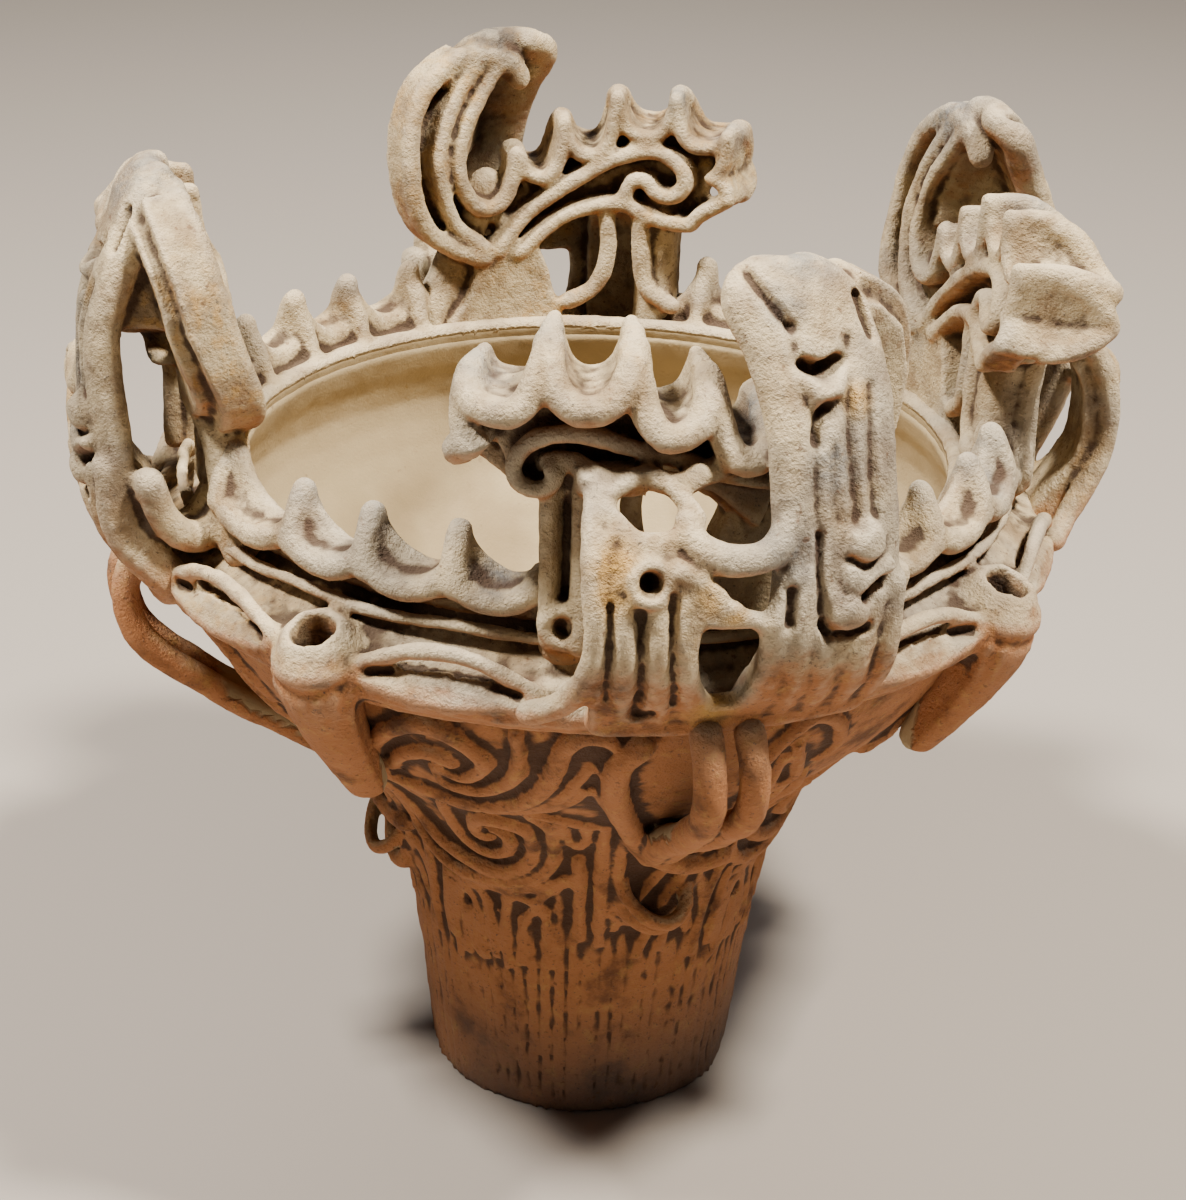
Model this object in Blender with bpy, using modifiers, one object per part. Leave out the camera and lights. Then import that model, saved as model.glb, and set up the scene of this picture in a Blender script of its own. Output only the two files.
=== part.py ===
"""Flame-style pot: one hollow vessel of fired clay, coil-built, with four pierced handles.

Units are metres, +Z is up, and the origin is the centre of the underside.
The clay is laid up as coils, pads and slabs on a turned wall, and then smoothed into one body.
"""

import math

import bmesh
import bpy
from mathutils import Matrix, Vector

mm = 0.001

# Driving dimensions of the vessel
base_radius = 0.0500
waist_radius = 0.0590
waist_height = 0.0850
shoulder_radius = 0.1270
shoulder_height = 0.1800
band_overhang = 0.0100
band_gap = 0.0120
band_width = 0.0253
band_rise = 0.0230
lip_coil = 0.0036
wall = 0.0100
floor_thickness = 0.0120

# Driving dimensions of the rim and the handles
tail_rise = 0.0980
petal_rise = 0.0215
petal_reach = 0.0155
petal_edge = 0.0038
lobe_reach = 0.0260
lobe_edge = 0.0044
scoop_thickness = 0.0060
scoop_sag = 0.0022
ring_radius = 0.0142
ring_hole = 0.0066
ring_depth = 0.0150
rope = 0.0031
strap_thickness = 0.0115
strap_width = 0.0300
loop_coil = 0.0050
relief_coil = 0.0030
relief_out = 0.0016

# Where things stand round the pot, in degrees from +X
quarter = 90.0
first_ring = -122.3
handle_turns = (-74.7, 14.0, 99.3, 194.0)
slot_turns = (-16.5, 16.0)

# The petals of each quarter: the tips in turn, where the last petal ends, and how low its valleys are
petal_rows = (
    ((-147.9, -131.1, -119.4, -107.1), -96.0, 0.45),
    ((-6.0, -16.5, -28.5, -41.5), -51.5, 0.45),
    ((35.5, 47.5, 60.0, 72.4), 82.0, 0.28),
    ((172.0, 159.7, 146.2, 134.7, 122.8), 112.5, 0.28),
)

# Vertical flutes of the lower body
flute_count = 42
flute_depth = 0.0011

# Fineness of the finished clay surface
clay_grain = 0.0019
facets = 9500

# The rim stands on the shoulder, and the handles on the rim
band_radius = shoulder_radius + band_overhang
band_height = shoulder_height + band_gap
lip_radius = band_radius - band_width
lip_height = band_height + band_rise

part_name = "flame_style_pot"


def clear_scene():
    for thing in list(bpy.data.objects):
        bpy.data.objects.remove(thing, do_unlink=True)


def collection(name, hidden=False):
    made = bpy.data.collections.new(name)
    bpy.context.scene.collection.children.link(made)
    made.hide_render = hidden
    return made


def clay_material():
    material = bpy.data.materials.new("fired_clay")
    material.use_nodes = True
    shader = material.node_tree.nodes["Principled BSDF"]
    shader.inputs["Base Color"].default_value = (0.50, 0.36, 0.23, 1.0)
    shader.inputs["Roughness"].default_value = 0.92
    shader.inputs["Metallic"].default_value = 0.0
    return material


def smooth(points, steps=4, closed=False):
    """A Catmull-Rom curve through the points, with this many steps from one to the next."""
    points = [Vector(point) for point in points]
    count = len(points)
    found = []
    spans = count if closed else count - 1
    for i in range(spans):
        if closed:
            a, b, c, d = (points[(i + k) % count] for k in (-1, 0, 1, 2))
        else:
            b, c = points[i], points[i + 1]
            a = points[i - 1] if i else 2 * b - c
            d = points[i + 2] if i + 2 < count else 2 * c - b
        for step in range(steps):
            t = step / steps
            found.append(
                0.5 * (2 * b + (c - a) * t + (2 * a - 5 * b + 4 * c - d) * t * t
                       + (3 * b - a - 3 * c + d) * t * t * t)
            )
    if not closed:
        found.append(points[-1])
    return found


def polar(turn, radius, height):
    """The point this many degrees round the pot, this far from its axis, at this height."""
    angle = math.radians(turn)
    return Vector((radius * math.cos(angle), radius * math.sin(angle), height))


# The clay is gathered here, piece by piece, before it is smoothed into one body.
lump = bmesh.new()


def add_to_lump(mesh):
    lump.from_mesh(mesh)
    bpy.data.meshes.remove(mesh)


def coil(points, thickness, closed=False, taper=None):
    """A rolled coil of clay along the points, thinner towards its end where taper says so."""
    data = bpy.data.curves.new("coil", "CURVE")
    data.dimensions = "3D"
    data.bevel_depth = thickness
    data.bevel_resolution = 2
    data.use_fill_caps = True
    spline = data.splines.new("POLY")
    spline.points.add(len(points) - 1)
    spline.use_cyclic_u = closed
    last = len(points) - 1
    for i, point in enumerate(points):
        spline.points[i].co = (*point, 1.0)
        if taper:
            spline.points[i].radius = taper[0] + (taper[1] - taper[0]) * i / last
    thing = bpy.data.objects.new("coil", data)
    bpy.context.scene.collection.objects.link(thing)
    graph = bpy.context.evaluated_depsgraph_get()
    mesh = bpy.data.meshes.new_from_object(thing.evaluated_get(graph))
    bpy.data.objects.remove(thing, do_unlink=True)
    bpy.data.curves.remove(data)
    add_to_lump(mesh)


def pad(centre, half_sizes, outward, lean=0.0, roll=0.0):
    """A flattened ball of clay: half sizes are across, through and up, and it faces outward."""
    mesh = bpy.data.meshes.new("pad")
    ball = bmesh.new()
    bmesh.ops.create_uvsphere(ball, u_segments=16, v_segments=10, radius=1.0)
    turn = Matrix.Rotation(math.radians(outward + 90), 4, "Z")
    tip = Matrix.Rotation(math.radians(lean), 4, "X") @ Matrix.Rotation(math.radians(roll), 4, "Y")
    size = Matrix.Diagonal((*half_sizes, 1.0))
    bmesh.ops.transform(ball, matrix=Matrix.Translation(centre) @ turn @ tip @ size, verts=ball.verts)
    ball.to_mesh(mesh)
    ball.free()
    add_to_lump(mesh)


def sheet(rows, thickness, gap=None):
    """A slab of clay through rows of points, this thick, left open where gap says so."""
    mesh = bpy.data.meshes.new("sheet")
    across = len(rows[0])
    points = [point for row in rows for point in row]
    faces = [
        (i * across + j, i * across + j + 1, (i + 1) * across + j + 1, (i + 1) * across + j)
        for i in range(len(rows) - 1)
        for j in range(across - 1)
        if not (gap and gap(i, j))
    ]
    mesh.from_pydata(points, [], faces)
    thing = bpy.data.objects.new("sheet", mesh)
    bpy.context.scene.collection.objects.link(thing)
    solid = thing.modifiers.new("thickness", "SOLIDIFY")
    solid.thickness = thickness
    solid.offset = 0.0
    graph = bpy.context.evaluated_depsgraph_get()
    made = bpy.data.meshes.new_from_object(thing.evaluated_get(graph))
    bpy.data.objects.remove(thing, do_unlink=True)
    bpy.data.meshes.remove(mesh)
    add_to_lump(made)


# Wall of the vessel

def outer_profile():
    """Radius and height from the base up to the notch under the rim band."""
    flare = shoulder_radius - waist_radius
    climb = shoulder_height - waist_height
    return smooth(
        [
            (base_radius, 0.0, -clay_grain),
            (base_radius + 0.55 * (waist_radius - base_radius), 0.0, 0.5 * waist_height),
            (waist_radius, 0.0, waist_height),
            (waist_radius + 0.13 * flare, 0.0, waist_height + 0.22 * climb),
            (waist_radius + 0.42 * flare, 0.0, waist_height + 0.48 * climb),
            (waist_radius + 0.72 * flare, 0.0, waist_height + 0.70 * climb),
            (shoulder_radius, 0.0, shoulder_height),
        ]
    )


def inner_profile():
    """The outer wall moved in by the wall's thickness, from the floor up to the mouth."""
    outer = outer_profile()
    inside = []
    for before, point, after in zip(outer, outer[1:], outer[2:]):
        along = (after - before).normalized()
        moved = point + wall * Vector((-along.z, 0.0, along.x))
        if moved.z > floor_thickness + wall:
            inside.append(moved)
    corner = Vector((inside[0].x - 0.4 * wall, 0.0, floor_thickness + 0.3 * wall))
    mouth = lip_radius - lip_coil
    collar = [
        Vector((shoulder_radius - 1.05 * wall, 0.0, band_height - 0.2 * wall)),
        Vector((0.5 * (shoulder_radius - wall + mouth), 0.0, lip_height - 1.2 * wall)),
        Vector((mouth, 0.0, lip_height - 0.4 * wall)),
    ]
    floor = [Vector((0.0, 0.0, floor_thickness)), Vector((0.8 * corner.x, 0.0, floor_thickness))]
    return floor + [corner] + inside + collar


def band_profile():
    """The rim band from the lip, over a sunk channel and a steep face, to the notch under it."""
    step = band_radius - lip_radius
    return [
        Vector((lip_radius, 0.0, lip_height - 1.0 * mm)),
        Vector((lip_radius + 0.26 * step, 0.0, lip_height - 2.0 * mm)),
        Vector((lip_radius + 0.50 * step, 0.0, lip_height - 8.0 * mm)),
        Vector((lip_radius + 0.78 * step, 0.0, lip_height - 13.0 * mm)),
        Vector((band_radius - 1.0 * mm, 0.0, band_height + 9.0 * mm)),
        Vector((band_radius + 0.5 * mm, 0.0, band_height + 4.0 * mm)),
        Vector((band_radius + 0.5 * mm, 0.0, band_height - 2.0 * mm)),
        Vector((band_radius - 2.0 * mm, 0.0, band_height - 6.0 * mm)),
    ]


def vessel_wall():
    """The turned wall, floor and rim band, with flutes pressed down its lower part."""
    profile = inner_profile() + band_profile() + outer_profile()[::-1] + [Vector((0.0, 0.0, -clay_grain))]
    mesh = bpy.data.meshes.new("wall")
    mesh.from_pydata(profile, [(i, i + 1) for i in range(len(profile) - 1)], [])
    thing = bpy.data.objects.new("wall", mesh)
    bpy.context.scene.collection.objects.link(thing)
    screw = thing.modifiers.new("turn", "SCREW")
    screw.steps = screw.render_steps = 4 * flute_count
    screw.use_merge_vertices = True
    screw.merge_threshold = 0.00005
    graph = bpy.context.evaluated_depsgraph_get()
    made = bpy.data.meshes.new_from_object(thing.evaluated_get(graph))
    bpy.data.objects.remove(thing, do_unlink=True)
    bpy.data.meshes.remove(mesh)
    for vertex in made.vertices:
        radius = math.hypot(vertex.co.x, vertex.co.y)
        outside = radius > base_radius - 0.5 * wall and vertex.co.z < 1.2 * waist_height
        if not outside or radius < 0.5 * base_radius:
            continue
        if radius < base_radius + (waist_radius - base_radius) * vertex.co.z / waist_height - 0.3 * wall:
            continue
        wave = math.cos(flute_count * math.atan2(vertex.co.y, vertex.co.x))
        grown = 1 + flute_depth * wave / radius
        vertex.co.x *= grown
        vertex.co.y *= grown
    add_to_lump(made)


def radius_at(height):
    """The outer wall's radius at this height, below the rim band."""
    outer = outer_profile()
    for low, high in zip(outer, outer[1:]):
        if low.z <= height <= high.z:
            share = (height - low.z) / (high.z - low.z)
            return low.x + share * (high.x - low.x)
    return outer[-1].x


# Rim: lip coil, thin coil, rolled edge, petals, rings and leaf-shaped slots

def ring_of(radius, height, thickness, wave=0.0, steps=120):
    """A coil right round the pot that rises and falls a little where wave says so."""
    points = []
    for i in range(steps):
        turn = 360 * i / steps
        points.append(polar(turn, radius, height + wave * math.sin(math.radians(16 * turn))))
    coil(points, thickness, closed=True)


def rim_coils():
    ring_of(lip_radius, lip_height, lip_coil)
    ring_of(lip_radius + 15.2 * mm, lip_height - 4.5 * mm, 0.62 * lip_coil, wave=0.6 * mm)
    ring_of(band_radius - 0.5 * mm, band_height + 1.0 * mm, 1.22 * lip_coil)


def between(a, b, share):
    return a + (b - a) * share


def scoop(inner, outer, edge, sag=scoop_sag):
    """A scooped slab from an inner edge line to an outer one, which is rolled thick."""
    rows = []
    for i in range(5):
        share = i / 4
        drop = Vector((0, 0, -4 * sag * share * (1 - share)))
        rows.append([between(a, b, share) + drop for a, b in zip(inner, outer)])
    sheet(rows, scoop_thickness)
    coil(outer, edge)
    coil(inner, 0.5 * scoop_thickness)


# Along a petal from its tip: share of the way to the next, rise over the lip as a share, reach as a share
petal_inside = ((0, 1, 0.60), (0.14, 0.62, 0.57), (0.35, 0.22, 0.53), (0.65, 0, 0.52), (0.88, 0.10, 0.53),
                (1, 0.30, 0.56))
petal_outside = ((0, 0.95, 0.68), (0.02, 0.66, 0.88), (0.10, 0.42, 0.98), (0.30, 0.29, 1), (0.58, 0.26, 1),
                 (0.82, 0.36, 0.98), (0.96, 0.50, 0.86), (1, 0.60, 0.66))


def petal(tip, end, low):
    """One tooth of the rim: a dish that leans out from its tip, and a ridge inside down to the lip."""
    def place(share, rise, reach):
        return polar(between(tip, end, share), lip_radius + reach * petal_reach,
                     lip_height + rise * petal_rise)

    inner = smooth([place(share, low + (1 - low) * rise, reach) for share, rise, reach in petal_inside], 3)
    outer = smooth([place(*spot) for spot in petal_outside], 3)
    count = 13
    inner = evenly(inner, count)
    outer = evenly(outer, count)
    scoop(inner, outer, petal_edge)
    foot = [place(i / (count - 1), -0.10, 0.48) for i in range(count)]
    sheet([foot, [between(a, b, 0.5) for a, b in zip(foot, inner)], inner], scoop_thickness)
    coil(smooth([place(0, 0.98, 0.62), place(0.04, 0.50, 0.40), place(0.06, 0, 0.10)]), 3.6 * mm)


def evenly(line, count):
    """The same line with this many points, at equal steps along it."""
    lengths = [0.0]
    for a, b in zip(line, line[1:]):
        lengths.append(lengths[-1] + (b - a).length)
    found = []
    k = 0
    for i in range(count):
        want = lengths[-1] * i / (count - 1)
        while k < len(line) - 2 and lengths[k + 1] < want:
            k += 1
        found.append(between(line[k], line[k + 1], (want - lengths[k]) / (lengths[k + 1] - lengths[k])))
    return found


def petals():
    for tips, end, low in petal_rows:
        for tip, after in zip(tips, (*tips[1:], end)):
            petal(tip, after, low)


def ring_axes(turn):
    """The middle of a ring's mouth, and the directions out of it, across it and up its slope."""
    mouth = polar(turn, band_radius + 1.5 * mm, band_height + 10.0 * mm)
    out = polar(turn, 0.34, 0.94).normalized()
    across = Vector((-math.sin(math.radians(turn)), math.cos(math.radians(turn)), 0))
    return mouth, out, across, out.cross(across)


def ring_tube(turn):
    """A short open tube that stands on the band's edge and tapers away down the shoulder."""
    mouth, out, across, slope = ring_axes(turn)
    middle = 0.5 * (ring_radius + ring_hole)
    circle = [mouth - 3.0 * mm * out + middle * (math.cos(a) * across + math.sin(a) * slope)
              for a in (2 * math.pi * i / 20 for i in range(20))]
    coil(circle, 0.5 * (ring_radius - ring_hole), closed=True)
    path = smooth([mouth - 4.0 * mm * out, polar(turn, band_radius - 2.0 * mm, band_height - 6.0 * mm),
                   polar(turn, shoulder_radius + 1.0 * mm, shoulder_height - 10.0 * mm),
                   polar(turn, shoulder_radius - 11.0 * mm, shoulder_height - 30.0 * mm)])
    coil(path, 0.93 * ring_radius, taper=(1.0, 0.42))
    for share in (-0.86, -0.5, -0.1, 0.3, 0.75):
        lean = math.sqrt(1 - share * share)
        line = []
        for i, point in enumerate(path[1:]):
            size = ring_radius * (1 - 0.62 * (i + 1) / len(path))
            line.append(point + size * (share * across + 0.86 * lean * polar(turn, 0.86, -0.5)))
        coil(line, 2.6 * mm)


def band_point(turn, share):
    """A point on the steep face of the band: share 0 is its lower edge and 1 its upper one."""
    low = Vector((band_radius + 3.0 * mm, 0.0, band_height + 3.0 * mm))
    high = Vector((band_radius + 1.0 * mm, 0.0, band_height + 16.0 * mm))
    place = low + share * (high - low)
    return polar(turn, place.x, place.z)


def leaf_slot(turn):
    """A pointed oval frame of coil on the band."""
    half = 11.0
    upper = [band_point(turn + half * x, 0.22 + 0.78 * math.cos(0.5 * math.pi * x) ** 0.8)
             for x in (-1.0, -0.6, -0.2, 0.2, 0.6, 1.0)]
    lower = [band_point(turn + half * x, 0.22 - 0.30 * math.cos(0.5 * math.pi * x) ** 0.8)
             for x in (0.6, 0.2, -0.2, -0.6)]
    coil(smooth(upper + lower, 3, closed=True), 2.7 * mm, closed=True)


# Handles

def handle_at(middle, turn, rise, radius):
    """A handle's point: degrees from its middle, and height in hundredths from lip to tail top."""
    return polar(middle + turn, lip_radius + radius * mm, lip_height + tail_rise * rise / 100)


def traced(middle, points, radius, steps=3):
    """A smooth line on the handle's inner face through pairs of turn and rise."""
    return smooth([handle_at(middle, turn, rise, radius(rise)) for turn, rise in points], steps)


def inner_face(rise):
    """How far outside the lip the handle's inner face stands at this height."""
    return 1.5 + 9.0 * max(0.0, (rise - 55) / 45) ** 1.5


def face_web(middle, left, right, thickness, out):
    """A slab between two lines of turn and rise that run side by side."""
    rows = []
    for a, b in zip(left, right):
        row = []
        for i in range(5):
            turn = a[0] + (b[0] - a[0]) * i / 4
            rise = a[1] + (b[1] - a[1]) * i / 4
            row.append(handle_at(middle, turn, rise, inner_face(rise) + out))
        rows.append(row)
    sheet(rows, thickness)


crest_tips = ((5.2, 61), (-2.4, 72), (-11.2, 81), (-21.0, 82), (-30.4, 71), (-31.2, 49))
crest_valleys = ((1.2, 53), (-7.3, 61), (-16.4, 68), (-25.4, 66), (-27.6, 56))
tail_outer = ((11.6, 26), (16.9, 30), (21.6, 37), (24.7, 50), (25.0, 68), (22.6, 83), (18.7, 92),
              (16.0, 98))
tail_middle = ((12.0, 30), (17.0, 39), (19.8, 58), (18.5, 72), (15.0, 85), (10.5, 94))
tail_inner = ((5.9, 64), (6.2, 55), (8.0, 46), (11.0, 43), (14.2, 47), (16.2, 58), (14.7, 72), (11.0, 84),
              (8.4, 92))
scroll_upper = (
    (9.0, 28), (5.3, 38), (1.1, 45), (-7.2, 56), (-13.5, 62), (-18.7, 63), (-22.3, 59), (-23.4, 53),
    (-21.3, 48), (-18.2, 49), (-16.6, 53), (-14.4, 53), (-13.2, 48), (-13.6, 44),
)
scroll_lower = ((5.3, 27), (-2.0, 39), (-9.3, 44), (-13.5, 44), (-17.7, 40), (-23.9, 38))


outer_scroll = ((4.4, 43), (-3.1, 47), (-10.6, 54), (-18.1, 57), (-22.8, 56), (-25.2, 50), (-23.7, 43),
                (-20.9, 41), (-19.1, 45), (-20.0, 48))


def crest(middle):
    """The cockscomb: a pointed wavy coil inside, a scroll under it, and thick scooped lobes outside."""
    coil(traced(middle, scroll_upper, inner_face), rope)
    coil(traced(middle, scroll_lower, inner_face), rope)
    coil(traced(middle, ((-31.8, 49), (-26.5, 43), (-24.5, 38)), inner_face), rope)
    upper = ((7.0, 34), (1.7, 52), (-7.2, 60), (-16.6, 67), (-23.0, 70), (-27.0, 68))
    lower = ((5.0, 26), (-1.0, 38), (-9.3, 43), (-15.0, 42), (-20.0, 38), (-25.5, 40))
    face_web(middle, upper, lower, 9 * mm, 6.0)
    for tip, valley, after in zip(crest_tips, crest_valleys, crest_tips[1:]):
        lobe(middle, tip, valley, after)
    line = smooth_pairs(outer_scroll, 3)
    rows = [[handle_at(middle, turn, rise, out) for turn, rise in line] for out in (7.0, 12.0, 17.5)]
    sheet(rows, 1.7 * rope)
    coil(rows[-1], 1.1 * rope)


def lobe(middle, tip, valley, after):
    """A thick ear of clay between one point of the crest and the next, scooped and hanging outwards."""
    def place(share, height, out):
        turn = between(tip[0], valley[0], 2 * share) if share < 0.5 else between(valley[0], after[0],
                                                                                 2 * share - 1)
        top = tip[1] if share < 0.5 else after[1]
        return handle_at(middle, turn, between(valley[1], top, height), out)

    reach = lobe_reach / mm
    foot = inner_face(valley[1])
    inner = [place(share, height, foot) for share, height in
             ((0, 1), (0.10, 0.62), (0.25, 0.24), (0.4, 0.05), (0.5, 0), (0.6, 0.05), (0.75, 0.24),
              (0.9, 0.62), (1, 1))]
    outer = [place(share, height, out * reach) for share, height, out in
             ((0, 0.98, 0.70), (0.06, 0.72, 0.90), (0.2, 0.30, 1), (0.36, 0.05, 1.04), (0.5, 0, 1.05),
              (0.64, 0.05, 1.04), (0.8, 0.30, 1), (0.94, 0.72, 0.90), (1, 0.98, 0.70))]
    scoop(evenly(smooth(inner, 2), 13), evenly(smooth(outer, 2), 13), lobe_edge, 0.4 * scoop_sag)
    coil([inner[0], place(0, 1, 0.5 * reach), outer[0]], 3.4 * mm)
    coil([inner[-1], place(1, 1, 0.5 * reach), outer[-1]], 3.4 * mm)


def tail(middle):
    """The curling tail: three coils and a thick bar inside, and a wide strap bowed out to the band."""
    coil(traced(middle, tail_outer, inner_face), 1.15 * rope)
    coil(traced(middle, tail_middle, inner_face), rope)
    coil(traced(middle, tail_inner, inner_face), rope)
    left = ((12.5, 30), (17.5, 33), (21.5, 40), (23.6, 52), (23.6, 68), (21.5, 82), (17.5, 92), (14.5, 97))
    right = ((9.0, 34), (11.5, 42), (14.5, 47), (16.0, 57), (15.2, 70), (12.0, 82), (9.0, 90), (6.0, 96))
    face_web(middle, left, right, 12 * mm, 8.0)
    cap = ((17.0, 96), (12.0, 100), (6.0, 98), (2.2, 91))
    coil(smooth([handle_at(middle, turn, rise - 4, 11.0) for turn, rise in cap]), 6.0 * mm,
         taper=(1.0, 0.8))
    coil(smooth([handle_at(middle, turn, rise - 1, 16.0) for turn, rise in cap]), 5.6 * mm,
         taper=(1.0, 0.8))
    rows = []
    for turn, rise, out in strap_line:
        row = []
        for i in range(5):
            share = i / 2 - 1
            width = math.degrees(0.5 * strap_width / (lip_radius + out * mm))
            row.append(handle_at(middle, turn + share * width, rise, out - 2.0 * abs(share)))
        rows.append(row)
    sheet(smooth_rows(rows), strap_thickness)
    wedge = []
    for rise, inner, outer in ((61, 6, 34), (70, 7, 30), (82, 10, 24), (92, 12, 19)):
        wedge.append([handle_at(middle, 12.5, rise, inner + (outer - inner) * i / 3) for i in range(4)])
    sheet(wedge, 15.0 * mm)


strap_line = (
    (7.5, 99, 14), (8.0, 93, 20), (9.0, 83, 25), (9.8, 74, 30), (10.3, 63, 35), (10.4, 48, 38),
    (10.2, 30, 42), (10.0, 14, 43), (10.0, 0, 39), (10.0, -12, 31), (10.0, -22, 24),
)
brow_line = ((-14.5, 44, 8), (-14.2, 45, 16), (-13.8, 45, 24), (-13.5, 44, 29))
plate_line = (
    (-11.4, 33, 39), (-11.3, 26, 41), (-11.3, 12, 43), (-11.3, 0, 41), (-11.3, -12, 34), (-11.3, -22, 26),
)


def smooth_rows(rows, steps=2):
    columns = [smooth(column, steps) for column in zip(*rows)]
    return [list(row) for row in zip(*columns)]


def strand(middle, line, half_width, thickness):
    """A flat strip along a line of turn, rise and out."""
    rows = []
    for turn, rise, out in line:
        width = math.degrees(half_width / (lip_radius + out * mm))
        rows.append([handle_at(middle, turn + share * width, rise, out) for share in (-1, -0.5, 0, 0.5, 1)])
    sheet(smooth_rows(rows), thickness)


def main_plate(middle):
    """The thick strand that bows out from under the crest, round a diamond hole, down to the band."""
    strand(middle, brow_line, 9.0 * mm, 8.0 * mm)
    diamond = ((-15.9, 39, 34), (-14.0, 42, 31.5), (-11.4, 44.5, 29), (-9.0, 42, 31.5), (-6.9, 39, 34),
               (-9.0, 36, 37), (-11.4, 33.5, 39), (-14.0, 36, 37))
    coil(smooth([handle_at(middle, *spot) for spot in diamond], 2, closed=True), 3.6 * mm, closed=True)
    strand(middle, plate_line, 11.8 * mm, 12.0 * mm)
    edge = ((-15.9, 39, 34), (-15.8, 30, 38), (-15.8, 14, 41.5), (-15.8, 0, 39), (-15.8, -12, 32),
            (-16.6, -20, 28), (-19.5, -23, 26.5))
    coil(smooth([handle_at(middle, *spot) for spot in edge]), 3.6 * mm)


def link_coil(middle):
    """The coils round the large opening between the main plate and the tail's strap."""
    below = ((-7.5, 39, 34), (-6.0, 33, 38), (-3.0, 28, 40), (0.8, 26, 40), (4.0, 29, 40), (6.0, 36, 38))
    above = ((-7.0, 39, 34), (-5.0, 43, 28), (0.0, 44, 22), (5.0, 44, 15), (8.0, 43, 10))
    coil(smooth([handle_at(middle, *point) for point in below]), 5.6 * mm)
    coil(smooth([handle_at(middle, *point) for point in above]), 4.2 * mm)


def legs(middle):
    """What carries the handle on the lip: a flared foot under the tail and a pillar under the crest."""
    foot = []
    for rise, left, right in ((27, 11.0, 4.5), (20, 10.5, 3.0), (12, 11.5, 1.5), (4, 14.5, -2.0),
                              (-2, 15.5, -3.0)):
        foot.append([handle_at(middle, left + (right - left) * i / 4, rise, 6.0) for i in range(5)])
    sheet(foot, 11.0 * mm)
    bar = [handle_at(middle, 20.0 - 0.2 * rise, rise, 10.0) for rise in (50, 36, 20, 8, -6)]
    coil(smooth(bar), 6.5 * mm, taper=(0.9, 1.2))
    pillar = [handle_at(middle, -18.5, rise, 11.0) for rise in (46, 36, 20, 6, -8)]
    coil(smooth(pillar), 7.6 * mm, taper=(1.0, 1.12))
    for turn in (-21.6, -15.6):
        coil(smooth([handle_at(middle, turn, rise, 18.0) for rise in (38, 24, 6, -4)]), 3.2 * mm)
    eye = [handle_at(middle, -18.4 + 2.6 * math.cos(a), -3 + 5 * math.sin(a), 19.0)
           for a in (2 * math.pi * i / 10 for i in range(10))]
    coil(eye, 2.8 * mm, closed=True)
    for side, spread in ((-10.0, 6.5), (-15.8, -6.0)):
        path = [(side, 40), (side - 0.3, 26), (side + 0.25 * spread, 14), (side + spread, 8)]
        coil(smooth([handle_at(middle, turn, rise, 2.5) for turn, rise in path]), 3.2 * mm)
    for turn, out in ((14.0, 0), (17.5, 3)):
        saddle = ((38 - out, 16), (34 - out, 4), (27 - out, -3), (19 - out, -2), (13 - out, 6))
        coil(smooth([handle_at(middle, turn, rise, reach) for reach, rise in saddle]), 5.2 * mm)


def skirt(middle):
    """The lower wall of the handle between its two strands, with a broken opening in it."""
    rows = []
    for rise, out in ((-22, 29), (-15, 34), (-8, 37), (0, 39), (6, 39), (11, 38)):
        rows.append([handle_at(middle, -8.0 + 2.2 * i, rise, out) for i in range(8)])
    sheet(rows, 6.2 * mm, gap=lambda i, j: 0 < i < 4 and 1 < j < 6)
    for turn in (-13.0, -9.2):
        coil(smooth([handle_at(middle, turn, 10, 46.5), handle_at(middle, turn, -6, 43),
                     handle_at(middle, turn, -20, 31.5)]), 3.6 * mm)
    for top, foot in ((5.0, 3.5), (8.5, 7.5), (12.0, 12.0), (15.0, 16.5)):
        coil(smooth([handle_at(middle, top, 4, 44), handle_at(middle, 0.5 * (top + foot), -10, 36),
                     handle_at(middle, foot, -24, 25)]), 4.5 * mm)
    coil(smooth([handle_at(middle, turn, -22, 28) for turn in (-14, -8, -2, 4, 10, 15)]), 4.8 * mm)
    for rise in (17, 5):
        pad(handle_at(middle, 15.0, rise, 41), (7.5 * mm, 6.5 * mm, 6.0 * mm), middle + 15.0)


def handle(middle):
    crest(middle)
    tail(middle)
    main_plate(middle)
    link_coil(middle)
    legs(middle)
    skirt(middle)


# Loops and scrolls on the shoulder

# Down a loop's side: share of the climb from waist to shoulder, and how far it stands off the wall
loop_side = ((111, 16.5), (100, 19.5), (87, 23.0), (77, 22.0), (68, 18.5), (60, 16.5), (51, 12.5),
             (39, 8.0), (30, 4.0))
pit_rim = ((-8.6, 100), (-10.8, 94), (-11.5, 85), (-10.6, 69), (-8, 54), (-5, 41), (-1, 30), (6, 23),
           (14, 19))
cup = ((-5.4, 15, 1), (-3.6, 8, 6), (1.0, 2, 11), (6.5, 0, 12), (11.5, 2, 9), (14.0, 8, 2))


def climb(share):
    """The height at this share, in hundredths, of the way from the waist to the shoulder."""
    return waist_height + (shoulder_height - waist_height) * share / 100


def on_wall(turn, share, out):
    """A point this many mm outside the wall."""
    return polar(turn, radius_at(climb(share)) + out * mm, climb(share))


def shoulder_loop(turn):
    """A thick double strap under each handle that stands clear of the shoulder, beside a dark pit."""
    for side in (-1.7, 2.8):
        coil(smooth([on_wall(turn + side, share, out) for share, out in loop_side], 2), loop_coil)
    coil([on_wall(turn + a, share, 3.0) for a, share in smooth_pairs(pit_rim)], 4.2 * mm)


def neck_loop(turn):
    """A small half-round cup under each big loop."""
    coil(smooth([on_wall(turn + a, share, out) for a, share, out in cup]), 3.0 * mm)
    coil(smooth([on_wall(turn + a, share - 6, 0.5 * out) for a, share, out in cup]), 3.4 * mm)


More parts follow.
